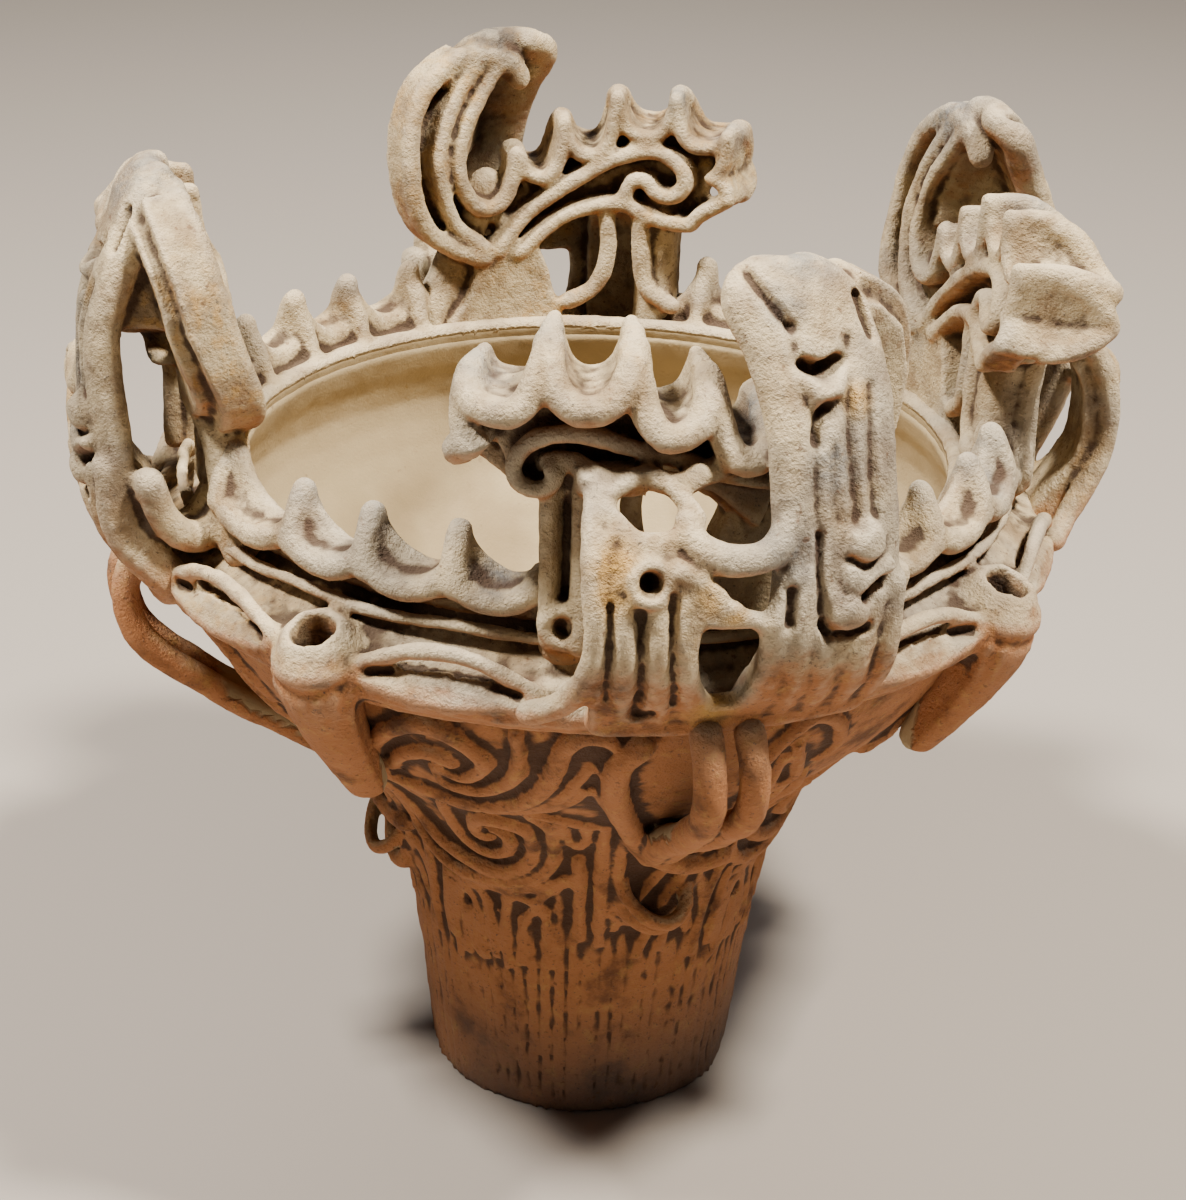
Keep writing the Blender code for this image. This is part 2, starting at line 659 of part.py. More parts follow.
# Rolled lines of the shoulder: degrees from a ring, and share of the climb from waist to shoulder
shoulder_lines = (
    ((0.0, 68), (0.8, 78), (3.4, 87), (7.3, 96), (11.3, 100), (14.6, 99), (16.8, 95), (18.5, 90),
     (18.6, 85), (16.6, 79),
     (14.3, 77), (12.2, 79)),
    ((10.6, 79), (11.8, 72), (14.4, 71), (17.8, 72), (20.9, 77), (22.9, 83), (23.7, 92), (23.6, 101)),
    ((-6, 64), (-1, 65), (4, 64), (8, 62), (13, 60), (18, 62), (23, 67), (26.6, 77), (28.4, 88), (29.5, 97),
     (34.5, 101)),
    ((20, 58), (26, 62), (30.5, 69), (33, 77), (35.6, 66), (38, 54), (40, 43)),
    ((-13, 55), (-13.2, 35), (-11, 25), (-6, 19), (1, 15), (9, 14), (15.6, 18), (19.6, 25), (20.4, 35),
     (18.6, 44), (14, 46),
     (9.5, 43), (6.2, 35), (7, 30)),
    ((4, 51), (1.2, 42), (0.2, 32), (3.0, 24), (8.3, 22), (12.9, 25), (14.6, 31), (13.4, 35)),
    ((-17, 39), (-17, 26), (-14, 15), (-7, 9), (2.8, 8), (12.7, 11), (20.7, 16), (24.6, 24), (25.3, 36),
     (22, 54)),
    ((-22, 68), (-19, 56), (-20, 37), (-24, 16), (-29, -3), (-33, -20)),
    ((-28, 81), (-26, 58), (-28, 38), (-33, 17), (-39, -3)),
    ((-10.6, -31), (-8, -6), (-4.6, 0), (-1.6, -4), (0.8, -28)),
    ((8.8, -28), (9.8, 0), (13.8, 3), (18.2, 2), (22.6, 7), (29, 13)),
    ((28.4, 39), (30.2, 32), (32.4, 35), (33, 48)),
    ((37, 45), (37.3, 25), (37.6, 0), (37.6, -16)),
    ((41, 38), (41.4, 16), (42.3, -9)),
    ((57.6, 71), (57, 83), (57.8, 94), (60.4, 101), (63.6, 101), (66.8, 94), (68.6, 84), (67.6, 77)),
    ((60, 68), (60.5, 54), (64, 39), (70, 26)),
)


def scrolls(middle):
    """The raised scrolls and ribs that cover the shoulder between one ring and the next."""
    for line in shoulder_lines:
        coil([on_wall(middle + turn, share, relief_out / mm) for turn, share in smooth_pairs(line, 3)],
             relief_coil)


def smooth_pairs(pairs, steps=4):
    return [(point.x, point.y) for point in smooth([(a, b, 0.0) for a, b in pairs], steps)]


# One body

def largest_shell(mesh):
    """Keeps the outer surface and drops small closed bubbles left inside the clay."""
    clay = bmesh.new()
    clay.from_mesh(mesh)
    clay.verts.ensure_lookup_table()
    seen = set()
    shells = []
    for vertex in clay.verts:
        if vertex in seen:
            continue
        shell = {vertex}
        front = [vertex]
        while front:
            for edge in front.pop().link_edges:
                for other in edge.verts:
                    if other not in shell:
                        shell.add(other)
                        front.append(other)
        seen |= shell
        shells.append(shell)
    shells.sort(key=len)
    for shell in shells[:-1]:
        bmesh.ops.delete(clay, geom=list(shell), context="VERTS")
    clay.to_mesh(mesh)
    clay.free()


def modifier_result(thing):
    graph = bpy.context.evaluated_depsgraph_get()
    mesh = bpy.data.meshes.new_from_object(thing.evaluated_get(graph))
    old = thing.data
    thing.modifiers.clear()
    thing.data = mesh
    bpy.data.meshes.remove(old)


def cutter(name, mesh_maker, cutters):
    mesh = bpy.data.meshes.new(name)
    shape = bmesh.new()
    mesh_maker(shape)
    shape.to_mesh(mesh)
    shape.free()
    thing = bpy.data.objects.new(name, mesh)
    cutters.objects.link(thing)
    thing.hide_render = True
    thing.display_type = "WIRE"
    return thing


def ground(shape):
    """A block under the pot, whose top is the plane that it stands on."""
    side = 4 * base_radius
    place = Matrix.Translation((0.0, 0.0, -0.5 * side)) @ Matrix.Diagonal((side, side, side, 1.0))
    bmesh.ops.create_cube(shape, size=1.0, matrix=place)


def ring_bores(shape):
    """A rod down each ring's mouth."""
    for i in range(4):
        mouth, out, across, slope = ring_axes(first_ring + quarter * i)
        turn = Matrix((across, slope, out)).transposed().to_4x4()
        place = Matrix.Translation(mouth + (0.5 * ring_radius - 0.5 * ring_depth) * out) @ turn
        bmesh.ops.create_cone(shape, cap_ends=True, segments=12, radius1=0.7 * ring_hole, radius2=ring_hole,
                              depth=ring_depth + ring_radius, matrix=place)


def one_body(parts, cutters):
    """Smooths the lump into one surface, thins its facets, and cuts the underside and the rings' bores."""
    mesh = bpy.data.meshes.new("pot")
    lump.to_mesh(mesh)
    lump.free()
    pot = bpy.data.objects.new("pot", mesh)
    parts.objects.link(pot)
    grain = pot.modifiers.new("clay", "REMESH")
    grain.mode = "VOXEL"
    grain.voxel_size = clay_grain
    modifier_result(pot)
    largest_shell(pot.data)
    thin = pot.modifiers.new("facets", "DECIMATE")
    thin.ratio = min(1.0, facets / (2 * len(pot.data.polygons)))
    thin.use_collapse_triangulate = True
    for name, maker in (("underside_cutter", ground), ("bore_cutter", ring_bores)):
        cut = pot.modifiers.new(name, "BOOLEAN")
        cut.operation = "DIFFERENCE"
        cut.object = cutter(name, maker, cutters)
    pot.data.materials.clear()
    pot.data.materials.append(clay_material())
    return pot


def build():
    clear_scene()
    parts = collection(part_name)
    cutters = collection("cutters", hidden=True)
    vessel_wall()
    rim_coils()
    petals()
    for i in range(4):
        middle = first_ring + quarter * i
        ring_tube(middle)
        for turn in slot_turns:
            leaf_slot(middle + turn)
        scrolls(middle)
    for turn in handle_turns:
        handle(turn)
        shoulder_loop(turn)
        neck_loop(turn + 2.5)
    one_body(parts, cutters)


build()
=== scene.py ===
import math

import bmesh
import bpy
import numpy as np
from mathutils import Matrix, Vector


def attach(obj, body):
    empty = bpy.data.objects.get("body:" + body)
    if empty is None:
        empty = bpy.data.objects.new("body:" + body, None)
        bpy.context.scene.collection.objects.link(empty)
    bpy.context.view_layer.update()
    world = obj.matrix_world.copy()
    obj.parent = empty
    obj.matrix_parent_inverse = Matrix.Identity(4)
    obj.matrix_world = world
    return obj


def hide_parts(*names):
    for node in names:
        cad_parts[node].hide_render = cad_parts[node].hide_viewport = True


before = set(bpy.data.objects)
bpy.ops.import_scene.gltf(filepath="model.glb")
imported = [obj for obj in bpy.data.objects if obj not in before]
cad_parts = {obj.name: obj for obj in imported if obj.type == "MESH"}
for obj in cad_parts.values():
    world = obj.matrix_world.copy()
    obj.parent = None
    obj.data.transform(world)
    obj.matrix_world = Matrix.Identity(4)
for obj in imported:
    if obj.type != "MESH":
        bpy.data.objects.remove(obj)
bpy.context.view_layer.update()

# Floor, lamps and view
# A plain pale floor, two small bright lamps high on either side with a faint wide one behind, and
# a view from above that has the front handle a little to the right.
bpy.ops.object.select_all(action="DESELECT")
bpy.ops.mesh.primitive_plane_add(size=14.0, location=(0, 0, 0))
floor = bpy.context.object
floor.name = "floor"
floor_paint = bpy.data.materials.new("pale_floor")
floor_paint.use_nodes = True
floor_shader = floor_paint.node_tree.nodes["Principled BSDF"]
floor_shader.inputs["Base Color"].default_value = (0.33, 0.295, 0.265, 1)
floor_shader.inputs["Roughness"].default_value = 0.85
floor.data.materials.append(floor_paint)

for lamp_name, place, size, power, tint in (
    ("lamp_right", (0.74, -0.36, 1.78), 0.22, 92.0, (1.0, 0.92, 0.80)),
    ("lamp_left", (-0.82, -0.30, 1.70), 0.22, 78.0, (1.0, 0.93, 0.83)),
    ("lamp_back", (0.15, 1.30, 1.25), 0.80, 5.0, (0.95, 0.97, 1.0)),
):
    bpy.ops.object.light_add(type="AREA", location=place)
    lamp = bpy.context.object
    lamp.name = lamp_name
    lamp.data.energy = power
    lamp.data.size = size
    lamp.data.color = tint
    lamp.rotation_euler = (Vector((0, 0, 0.15)) - Vector(place)).to_track_quat("-Z", "Y").to_euler()

sky = bpy.data.worlds.new("pale_room")
bpy.context.scene.world = sky
sky.use_nodes = True
sky.node_tree.nodes["Background"].inputs["Color"].default_value = (0.80, 0.78, 0.76, 1)
sky.node_tree.nodes["Background"].inputs["Strength"].default_value = 0.05

eye = Vector((0.0, -0.75, 0.518))
aim = Vector((0.0005, 0.0, 0.162))
tilt = math.radians(1.70)
ahead = (aim - eye).normalized()
right = ahead.cross(Vector((0, 0, 1))).normalized()
above = right.cross(ahead)
side = math.cos(tilt) * right + math.sin(tilt) * above
above = math.cos(tilt) * above - math.sin(tilt) * right
bpy.ops.object.camera_add(location=eye)
camera = bpy.context.object
camera.matrix_world = Matrix.Translation(eye) @ Matrix((side, above, -ahead)).transposed().to_4x4()
sensor_width = 36.0
focal_pixels = 2606
photo_pixels = 1200
camera.data.sensor_width = sensor_width
camera.data.lens = sensor_width * focal_pixels / photo_pixels
bpy.context.scene.camera = camera

# Fired clay
# The whole pot is one low-fired, gritty earthenware, with black grit, ochre breaks, soot on the tips and a
# smooth pale inside. Painted light is laid over it: upward faces paler as if lit from above, the undersides
# and lower body orange-brown, partly their own colour and partly painted shade and orange bounce, painted
# shade in the creases, pale upper ridges that are partly wear and partly painted highlight, and the inside
# toned down as painted shade.
clay = bpy.data.materials.new("fired_clay")
clay.use_nodes = True
nodes = clay.node_tree.nodes
links = clay.node_tree.links
shader = nodes["Principled BSDF"]
shader.inputs["Metallic"].default_value = 0.0
place_node = nodes.new("ShaderNodeTexCoord")
shape_node = nodes.new("ShaderNodeNewGeometry")


def noise(scale, detail=3.0, rough=0.55):
    """A cloudy pattern over the object, this many waves to the metre."""
    node = nodes.new("ShaderNodeTexNoise")
    node.inputs["Scale"].default_value = scale
    node.inputs["Detail"].default_value = detail
    node.inputs["Roughness"].default_value = rough
    links.new(place_node.outputs["Object"], node.inputs["Vector"])
    return node.outputs["Fac"]


def spread(value, low, high, start=0.0, end=1.0):
    """A value between low and high, spread smoothly from start to end."""
    node = nodes.new("ShaderNodeMapRange")
    node.interpolation_type = "SMOOTHSTEP"
    for socket, number in (("From Min", low), ("From Max", high), ("To Min", start), ("To Max", end)):
        node.inputs[socket].default_value = number
    links.new(value, node.inputs["Value"])
    return node.outputs["Result"]


def sum_of(kind, a, b):
    """Two values, or a value and a number, put together."""
    node = nodes.new("ShaderNodeMath")
    node.operation = kind
    for socket, value in zip(node.inputs, (a, b)):
        if isinstance(value, (int, float)):
            socket.default_value = value
        else:
            links.new(value, socket)
    return node.outputs["Value"]


def tinted(under, over, share, kind="MIX"):
    """A colour laid over another by a share."""
    node = nodes.new("ShaderNodeMix")
    node.data_type = "RGBA"
    node.blend_type = kind
    for socket, value in ((node.inputs[0], share), (node.inputs[6], under), (node.inputs[7], over)):
        if isinstance(value, (int, float, tuple)):
            socket.default_value = value
        else:
            links.new(value, socket)
    return node.outputs[2]


def marked(name):
    """A value kept on the clay's own points."""
    node = nodes.new("ShaderNodeAttribute")
    node.attribute_name = name
    return node.outputs["Fac"]


def axis_of(vector, name):
    """One part of a direction or a place."""
    node = nodes.new("ShaderNodeSeparateXYZ")
    links.new(vector, node.inputs["Vector"])
    return node.outputs[name]


cream = (0.52, 0.41, 0.245, 1)
buff = (0.27, 0.19, 0.105, 1)
# Orange-brown of the lower body and undersides: partly the clay's own colour, partly painted orange bounce
# light.
terracotta_and_painted_bounce = (0.36, 0.145, 0.050, 1)
umber = (0.10, 0.040, 0.016, 1)
ochre = (0.50, 0.29, 0.075, 1)
soot = (0.040, 0.038, 0.040, 1)
ash = (0.150, 0.146, 0.142, 1)
foot_stain = (0.085, 0.070, 0.062, 1)
# Near-black painted shade for the creases.
crease_painted_shade = (0.040, 0.017, 0.007, 1)
# Pale for the upper ridges: partly wear, partly painted highlight.
pale_wear_and_highlight = (0.74, 0.64, 0.47, 1)
# Inside tone: the smooth clay's own pale colour, lowered as painted shade inside the bowl.
shaded_inner_cream = (0.40, 0.31, 0.175, 1)
inner_buff = (0.27, 0.20, 0.105, 1)
inner_fleck = (0.17, 0.11, 0.055, 1)

height = axis_of(place_node.outputs["Object"], "Z")
facing_up = axis_of(shape_node.outputs["Normal"], "Z")
drift = noise(14, 4)
cloud = noise(55, 5, 0.62)
mottle = noise(210, 4, 0.65)
grit = noise(900, 3, 0.7)

# Painted light: faces turned up get the pale clay as if lit from above, faces turned down get the dark warm
# body colour as painted shade and bounce; below the band the orange-brown is partly the clay's own colour.
body_tone_and_painted_light = sum_of("SUBTRACT", spread(height, 0.224, 0.180), spread(facing_up, 0.0, 0.9, 0.0, 0.60))
body_tone_and_painted_light = sum_of("ADD", body_tone_and_painted_light, spread(facing_up, 0.05, -0.75, 0.0, 0.80))
body_tone_and_painted_light = sum_of("ADD", body_tone_and_painted_light, sum_of("MULTIPLY", sum_of("SUBTRACT", cloud, 0.5), 1.2))
pale = tinted(cream, buff, spread(cloud, 0.38, 0.62))
rusty = sum_of("MULTIPLY", spread(drift, 0.50, 0.66), spread(mottle, 0.42, 0.66, 0.0, 0.55))
pale = tinted(pale, ochre, rusty)
pale = tinted(pale, ash, sum_of("MULTIPLY", spread(drift, 0.50, 0.36), 0.50))
body = tinted(terracotta_and_painted_bounce, umber, spread(cloud, 0.50, 0.70, 0.0, 0.85))
body = tinted(body, ochre, sum_of("MULTIPLY", spread(mottle, 0.52, 0.72), 0.35))
colour = tinted(pale, body, spread(body_tone_and_painted_light, 0.05, 0.95))
foot_soot = sum_of("MULTIPLY", spread(height, 0.060, 0.0), spread(drift, 0.34, 0.58, 0.35, 1.0))
colour = tinted(colour, foot_stain, sum_of("MULTIPLY", foot_soot, 0.75))
colour = tinted(colour, ochre, sum_of("MULTIPLY", marked("broken"), spread(mottle, 0.30, 0.62, 0.65, 1.0)))
colour = tinted(colour, ash, sum_of("MULTIPLY", marked("sooty"), spread(mottle, 0.34, 0.62, 0.35, 0.95)))
colour = tinted(colour, soot, sum_of("MULTIPLY", marked("burnt"), spread(cloud, 0.30, 0.60, 0.60, 0.95)))
colour = tinted(colour, soot, spread(grit, 0.60, 0.70, 0.0, 0.70))
colour = tinted(colour, umber, spread(noise(380, 2, 0.7), 0.63, 0.72, 0.0, 0.60))
hollow = marked("hollow")
# Painted shade: creases and hollows darkened almost to black.
colour = tinted(colour, crease_painted_shade, spread(hollow, 0.10, 1.1, 0.0, 0.92))
# Pale on the upper ridges: partly wear, partly painted highlight.
ridge_wear_and_highlight = sum_of("MULTIPLY", spread(hollow, -0.25, -1.2, 0.0, 0.22), spread(height, 0.17, 0.21))
colour = tinted(colour, pale_wear_and_highlight, ridge_wear_and_highlight)
# The smooth inside: its own pale clay, toned down as painted shade.
inside = tinted(shaded_inner_cream, inner_buff, spread(drift, 0.38, 0.66))
inside = tinted(inside, inner_fleck, spread(mottle, 0.62, 0.78, 0.0, 0.6))
colour = tinted(colour, inside, marked("inside"))
links.new(colour, shader.inputs["Base Color"])
links.new(spread(cloud, 0.3, 0.7, 0.82, 0.96), shader.inputs["Roughness"])

pores = nodes.new("ShaderNodeTexVoronoi")
pores.inputs["Scale"].default_value = 420
links.new(place_node.outputs["Object"], pores.inputs["Vector"])
coarse = sum_of("SUBTRACT", 1.0, sum_of("MULTIPLY", marked("inside"), 0.8))
skin = sum_of("ADD", mottle, sum_of("MULTIPLY", grit, 0.8))
skin = sum_of("ADD", skin, spread(pores.outputs["Distance"], 0.06, 0.26, 0.0, 0.16))
crumbs = sum_of("MULTIPLY", noise(420, 4, 0.8), 2.2)
skin = sum_of("ADD", skin, sum_of("MULTIPLY", marked("broken"), crumbs))
bump = nodes.new("ShaderNodeBump")
bump.inputs["Strength"].default_value = 0.75
bump.inputs["Distance"].default_value = 0.0014
links.new(sum_of("MULTIPLY", skin, coarse), bump.inputs["Height"])
links.new(bump.outputs["Normal"], shader.inputs["Normal"])

# Vessel
# A deep jar raised in rings of clay: a narrow ribbed foot, a flaring shoulder and a smooth inside.
# Raised scrolls and ribs of rolled clay cover its shoulder, and four double loops stand off it.
mm = 0.001
quarter = 90.0
first_ring = -122.3
ring_turns = [first_ring + quarter * i for i in range(4)]
handle_turns = (-74.7, 14.0, 99.3, 194.0)
lip_radius, lip_height = 0.1117, 0.2150
band_radius, band_height = 0.1370, 0.1920
outer_steps = ((0.0500, 0.0000), (0.0508, 0.0100), (0.0520, 0.0200), (0.0530, 0.0300), (0.0541, 0.0400),
               (0.0556, 0.0500), (0.0568, 0.0600), (0.0578, 0.0700), (0.0590, 0.0800), (0.0612, 0.0880),
               (0.0640, 0.0950), (0.0668, 0.1030), (0.0700, 0.1110), (0.0760, 0.1200), (0.0812, 0.1252),
               (0.0862, 0.1300), (0.0918, 0.1352), (0.0972, 0.1400), (0.1023, 0.1450), (0.1072, 0.1500),
               (0.1113, 0.1552), (0.1150, 0.1600), (0.1187, 0.1650), (0.1220, 0.1700), (0.1250, 0.1750),
               (0.1275, 0.1800), (0.1290, 0.1860))
inner_steps = ((0.1080, 0.2120), (0.1108, 0.2050), (0.1146, 0.1980), (0.1172, 0.1900), (0.1165, 0.1820),
               (0.1135, 0.1740), (0.1095, 0.1680), (0.1010, 0.1580), (0.0920, 0.1480), (0.0820, 0.1370),
               (0.0725, 0.1260), (0.0640, 0.1150), (0.0585, 0.1060), (0.0540, 0.0950), (0.0505, 0.0800),
               (0.0485, 0.0650), (0.0462, 0.0480), (0.0440, 0.0300), (0.0420, 0.0190), (0.0370, 0.0135),
               (0.0260, 0.0120))


def polar(turn, radius, height):
    """The point this many degrees round the pot, this far from its middle, at this height."""
    angle = math.radians(turn)
    return Vector((radius * math.cos(angle), radius * math.sin(angle), height))


def between(a, b, share):
    """The value or point this share of the way from a to b."""
    return a + (b - a) * share


def smooth(points, steps=4, closed=False):
    """A flowing curve through the points."""
    points = [Vector(point) for point in points]
    count = len(points)
    found = []
    for i in range(count if closed else count - 1):
        if closed:
            a, b, c, d = (points[(i + k) % count] for k in (-1, 0, 1, 2))
        else:
            b, c = points[i], points[i + 1]
            a = points[i - 1] if i else 2 * b - c
            d = points[i + 2] if i + 2 < count else 2 * c - b
        for step in range(steps):
            t = step / steps
            found.append(0.5 * (2 * b + (c - a) * t + (2 * a - 5 * b + 4 * c - d) * t * t
                                + (3 * b - a - 3 * c + d) * t * t * t))
    if not closed:
        found.append(points[-1])
    return found


def smooth_pairs(pairs, steps=4):
    """A flowing curve through pairs of numbers."""
    return [(point.x, point.y) for point in smooth([(a, b, 0.0) for a, b in pairs], steps)]


lump = bmesh.new()


def lay(mesh):
    """Adds a mesh to the clay laid up so far."""
    lump.from_mesh(mesh)
    bpy.data.meshes.remove(mesh)


def coil(points, half_thick, closed=False, widths=None):
    """A rolled coil of clay of this half thickness, or the shares of it in widths, along the points."""
    data = bpy.data.curves.new("coil", "CURVE")
    data.dimensions = "3D"
    data.bevel_depth = half_thick
    data.bevel_resolution = 3
    data.use_fill_caps = True
    spline = data.splines.new("POLY")
    spline.points.add(len(points) - 1)
    spline.use_cyclic_u = closed
    for i, point in enumerate(points):
        spline.points[i].co = (*point, 1.0)
        if widths:
            share = i / (len(points) - 1) * (len(widths) - 1)
            k = min(int(share), len(widths) - 2)
            spline.points[i].radius = between(widths[k], widths[k + 1], share - k)
    thing = bpy.data.objects.new("coil", data)
    bpy.context.scene.collection.objects.link(thing)
    mesh = bpy.data.meshes.new_from_object(thing.evaluated_get(bpy.context.evaluated_depsgraph_get()))
    bpy.data.objects.remove(thing, do_unlink=True)
    bpy.data.curves.remove(data)
    lay(mesh)
    for end in () if closed else (0, -1):
        size = half_thick * (widths[end] if widths else 1.0)
        bmesh.ops.create_icosphere(lump, subdivisions=2, radius=0.985 * size,
                                   matrix=Matrix.Translation(points[end]))


def slab(rows, thickness, gap=None):
    """A slab of clay through rows of points, left open where gap says so."""
    mesh = bpy.data.meshes.new("slab")
    across = len(rows[0])
    faces = [(i * across + j, i * across + j + 1, (i + 1) * across + j + 1, (i + 1) * across + j)
             for i in range(len(rows) - 1) for j in range(across - 1) if not (gap and gap(i, j))]
    mesh.from_pydata([point for row in rows for point in row], [], faces)
    thing = bpy.data.objects.new("slab", mesh)
    bpy.context.scene.collection.objects.link(thing)
    solid = thing.modifiers.new("thickness", "SOLIDIFY")
    solid.thickness = thickness
    solid.offset = 0.0
    made = bpy.data.meshes.new_from_object(thing.evaluated_get(bpy.context.evaluated_depsgraph_get()))
    bpy.data.objects.remove(thing, do_unlink=True)
    bpy.data.meshes.remove(mesh)
    lay(made)


def pad(centre, half_sizes, outward):
    """A flattened ball of clay: half sizes are across, through and up, and it faces outward."""
    turn = Matrix.Rotation(math.radians(outward + 90), 4, "Z")
    place = Matrix.Translation(centre) @ turn @ Matrix.Diagonal((*half_sizes, 1.0))
    bmesh.ops.create_uvsphere(lump, u_segments=20, v_segments=12, radius=1.0, matrix=place)


def finish_with(thing, name, kind, **settings):
    """Adds one modifier and applies it."""
    bpy.ops.object.select_all(action="DESELECT")
    bpy.context.view_layer.objects.active = thing
    thing.select_set(True)
    step = thing.modifiers.new(name, kind)
    for key, value in settings.items():
        setattr(step, key, value)
    bpy.ops.object.modifier_apply(modifier=name)


def drop_bubbles(mesh):
    """Keeps the outer surface and drops closed bubbles inside the clay."""
    clay_mesh = bmesh.new()
    clay_mesh.from_mesh(mesh)
    seen = set()
    shells = []
    for vertex in clay_mesh.verts:
        if vertex in seen:
            continue
        shell = {vertex}
        front = [vertex]
        while front:
            for edge in front.pop().link_edges:
                other = edge.verts[0] if edge.verts[1] in shell else edge.verts[1]
                if other not in shell:
                    shell.add(other)
                    front.append(other)
        seen |= shell
        shells.append(shell)
    for shell in sorted(shells, key=len)[:-1]:
        bmesh.ops.delete(clay_mesh, geom=list(shell), context="VERTS")
    clay_mesh.to_mesh(mesh)
    clay_mesh.free()


hand = bpy.data.textures.new("hand", "CLOUDS")
hand.noise_scale = 0.016
hand.noise_depth = 3
skin_texture = bpy.data.textures.new("skin", "CLOUDS")
skin_texture.noise_scale = 0.0042
skin_texture.noise_depth = 2


def points_of(thing):
    """The places and outward directions of all points of a piece."""
    count = len(thing.data.vertices)
    places = np.empty(3 * count, dtype=np.float32)
    thing.data.vertices.foreach_get("co", places)
    faces = np.empty(3 * count, dtype=np.float32)
    thing.data.vertices.foreach_get("normal", faces)
    return places.reshape(-1, 3), faces.reshape(-1, 3)


def pressed(thing, strokes):
    """Presses lines into the clay, or draws them up: each has a half width, a depth and the way in."""
    places, faces = points_of(thing)
    places = places.astype(np.float64)
    moved = np.zeros_like(places)
    for line, half, depth, inward in strokes:
        line = np.array([tuple(point) for point in line])
        inward = np.array(tuple(inward.normalized()))
        boxed = ((places > line.min(axis=0) - half) & (places < line.max(axis=0) + half)).all(axis=1)
        close = np.flatnonzero(boxed & (faces @ inward < -0.15))
        if not len(close):
            continue
        spots = places[close]
        away = np.full(len(close), 1.0)
        for a, b in zip(line, line[1:]):
            share = np.clip((spots - a) @ (b - a) / max(((b - a) ** 2).sum(), 1e-12), 0, 1)
            gap = spots - a - share[:, None] * (b - a)
            gap -= 0.7 * (gap @ inward)[:, None] * inward
            away = np.minimum(away, np.linalg.norm(gap, axis=1) / half)
        bowl = np.clip(1 - away ** 2, 0, 1) ** 1.5
        moved[close] += (depth * bowl)[:, None] * inward
    thing.data.vertices.foreach_set("co", (places + moved).astype(np.float32).ravel())
    thing.data.update()


def fused(name, grain, most, strokes=(), cutter=None, rough=0.0005):
    """Takes the clay laid up so far as one body, cut, rubbed smooth, pressed and left slightly uneven."""
    mesh = bpy.data.meshes.new(name)
    lump.to_mesh(mesh)
    lump.clear()
    thing = bpy.data.objects.new(name, mesh)
    bpy.context.scene.collection.objects.link(thing)
    finish_with(thing, "grain", "REMESH", mode="VOXEL", voxel_size=grain)
    drop_bubbles(thing.data)
    if cutter:
        finish_with(thing, "bores", "BOOLEAN", operation="DIFFERENCE", object=cutter, solver="EXACT")
        finish_with(thing, "even", "REMESH", mode="VOXEL", voxel_size=grain)
    finish_with(thing, "rubbed", "SMOOTH", factor=0.5, iterations=3)
    if strokes:
        pressed(thing, strokes)
        finish_with(thing, "pressed", "REMESH", mode="VOXEL", voxel_size=grain)
        drop_bubbles(thing.data)
        finish_with(thing, "soft", "SMOOTH", factor=0.5, iterations=2)
    finish_with(thing, "hand", "DISPLACE", texture=hand, strength=0.0012, mid_level=0.5)
    finish_with(thing, "skin", "DISPLACE", texture=skin_texture, strength=rough, mid_level=0.5)
    count = 2 * len(thing.data.polygons)
    if count > most:
        finish_with(thing, "lighter", "DECIMATE", ratio=most / count)
    return thing


def mark(thing, name, values):
    """Keeps a value on each point of a piece for its material to read."""
    made = thing.data.attributes.new(name, "FLOAT", "POINT")
    made.data.foreach_set("value", np.ascontiguousarray(values, dtype=np.float32))


def near(places, centre, reach):
    """1 at the centre, falling softly to 0 at this reach."""
    away = np.linalg.norm(places - np.array(centre, dtype=np.float32), axis=1) / reach
    return np.clip(1.25 - away * 1.25, 0, 1)


def marked_wear_and_shade(thing, broken=(), sooty=(), burnt=()):
    """Marks a piece's creases for painted shade, its ridges for wear and painted highlight, and its breaks,
    its sooted places and its inner face.
    """
    places, faces = points_of(thing)
    edges = np.empty(2 * len(thing.data.edges), dtype=np.int64)
    thing.data.edges.foreach_get("vertices", edges)
    a, b = edges.reshape(-1, 2).T
    count = len(places)
    share = np.bincount(a, minlength=count) + np.bincount(b, minlength=count)
    soft = places.astype(np.float64)
    depth = np.zeros(count)
    for step in range(1, 25):
        for k in range(3):
            total = np.bincount(a, soft[b, k], count) + np.bincount(b, soft[a, k], count)
            soft[:, k] = 0.4 * soft[:, k] + 0.6 * total / share
        if step in (6, 24):
            depth += ((soft - places) * faces).sum(axis=1) / (0.0004 if step == 6 else 0.0013)
    mark(thing, "hollow", np.clip(depth, -2, 2))
    radius = np.hypot(places[:, 0], places[:, 1])
    inward = -(places[:, 0] * faces[:, 0] + places[:, 1] * faces[:, 1]) / np.maximum(radius, 1e-6)
    mark(thing, "inside", (places[:, 2] < 0.2155) & (places[:, 2] > 0.008) & (radius < 0.1185)
         & ((inward > 0.02) | (radius < 0.040) & (faces[:, 2] > 0)))
    for name, spots in (("broken", broken), ("sooty", sooty), ("burnt", burnt)):
        total = np.zeros(count)
        for centre, reach in spots:
            total = np.maximum(total, near(places, centre, reach))
        mark(thing, name, total)


def fired(thing):
    """Gives a piece its clay and its place on the pot."""
    thing.data.materials.clear()
    thing.data.materials.append(clay)
    thing.data.shade_smooth()
    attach(thing, "root")
    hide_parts("pot")


def radius_at(height):
    """The outer wall's radius at this height, below the rim band."""
    for low, high in zip(outer_steps, outer_steps[1:]):
        if low[1] <= height <= high[1]:
            return between(low[0], high[0], (height - low[1]) / (high[1] - low[1]))
    return outer_steps[-1][0]


def on_wall(turn, height, out=0.0020):
    """A point on the outer wall, or this far out from it."""
    return polar(turn, radius_at(height) + out, height)


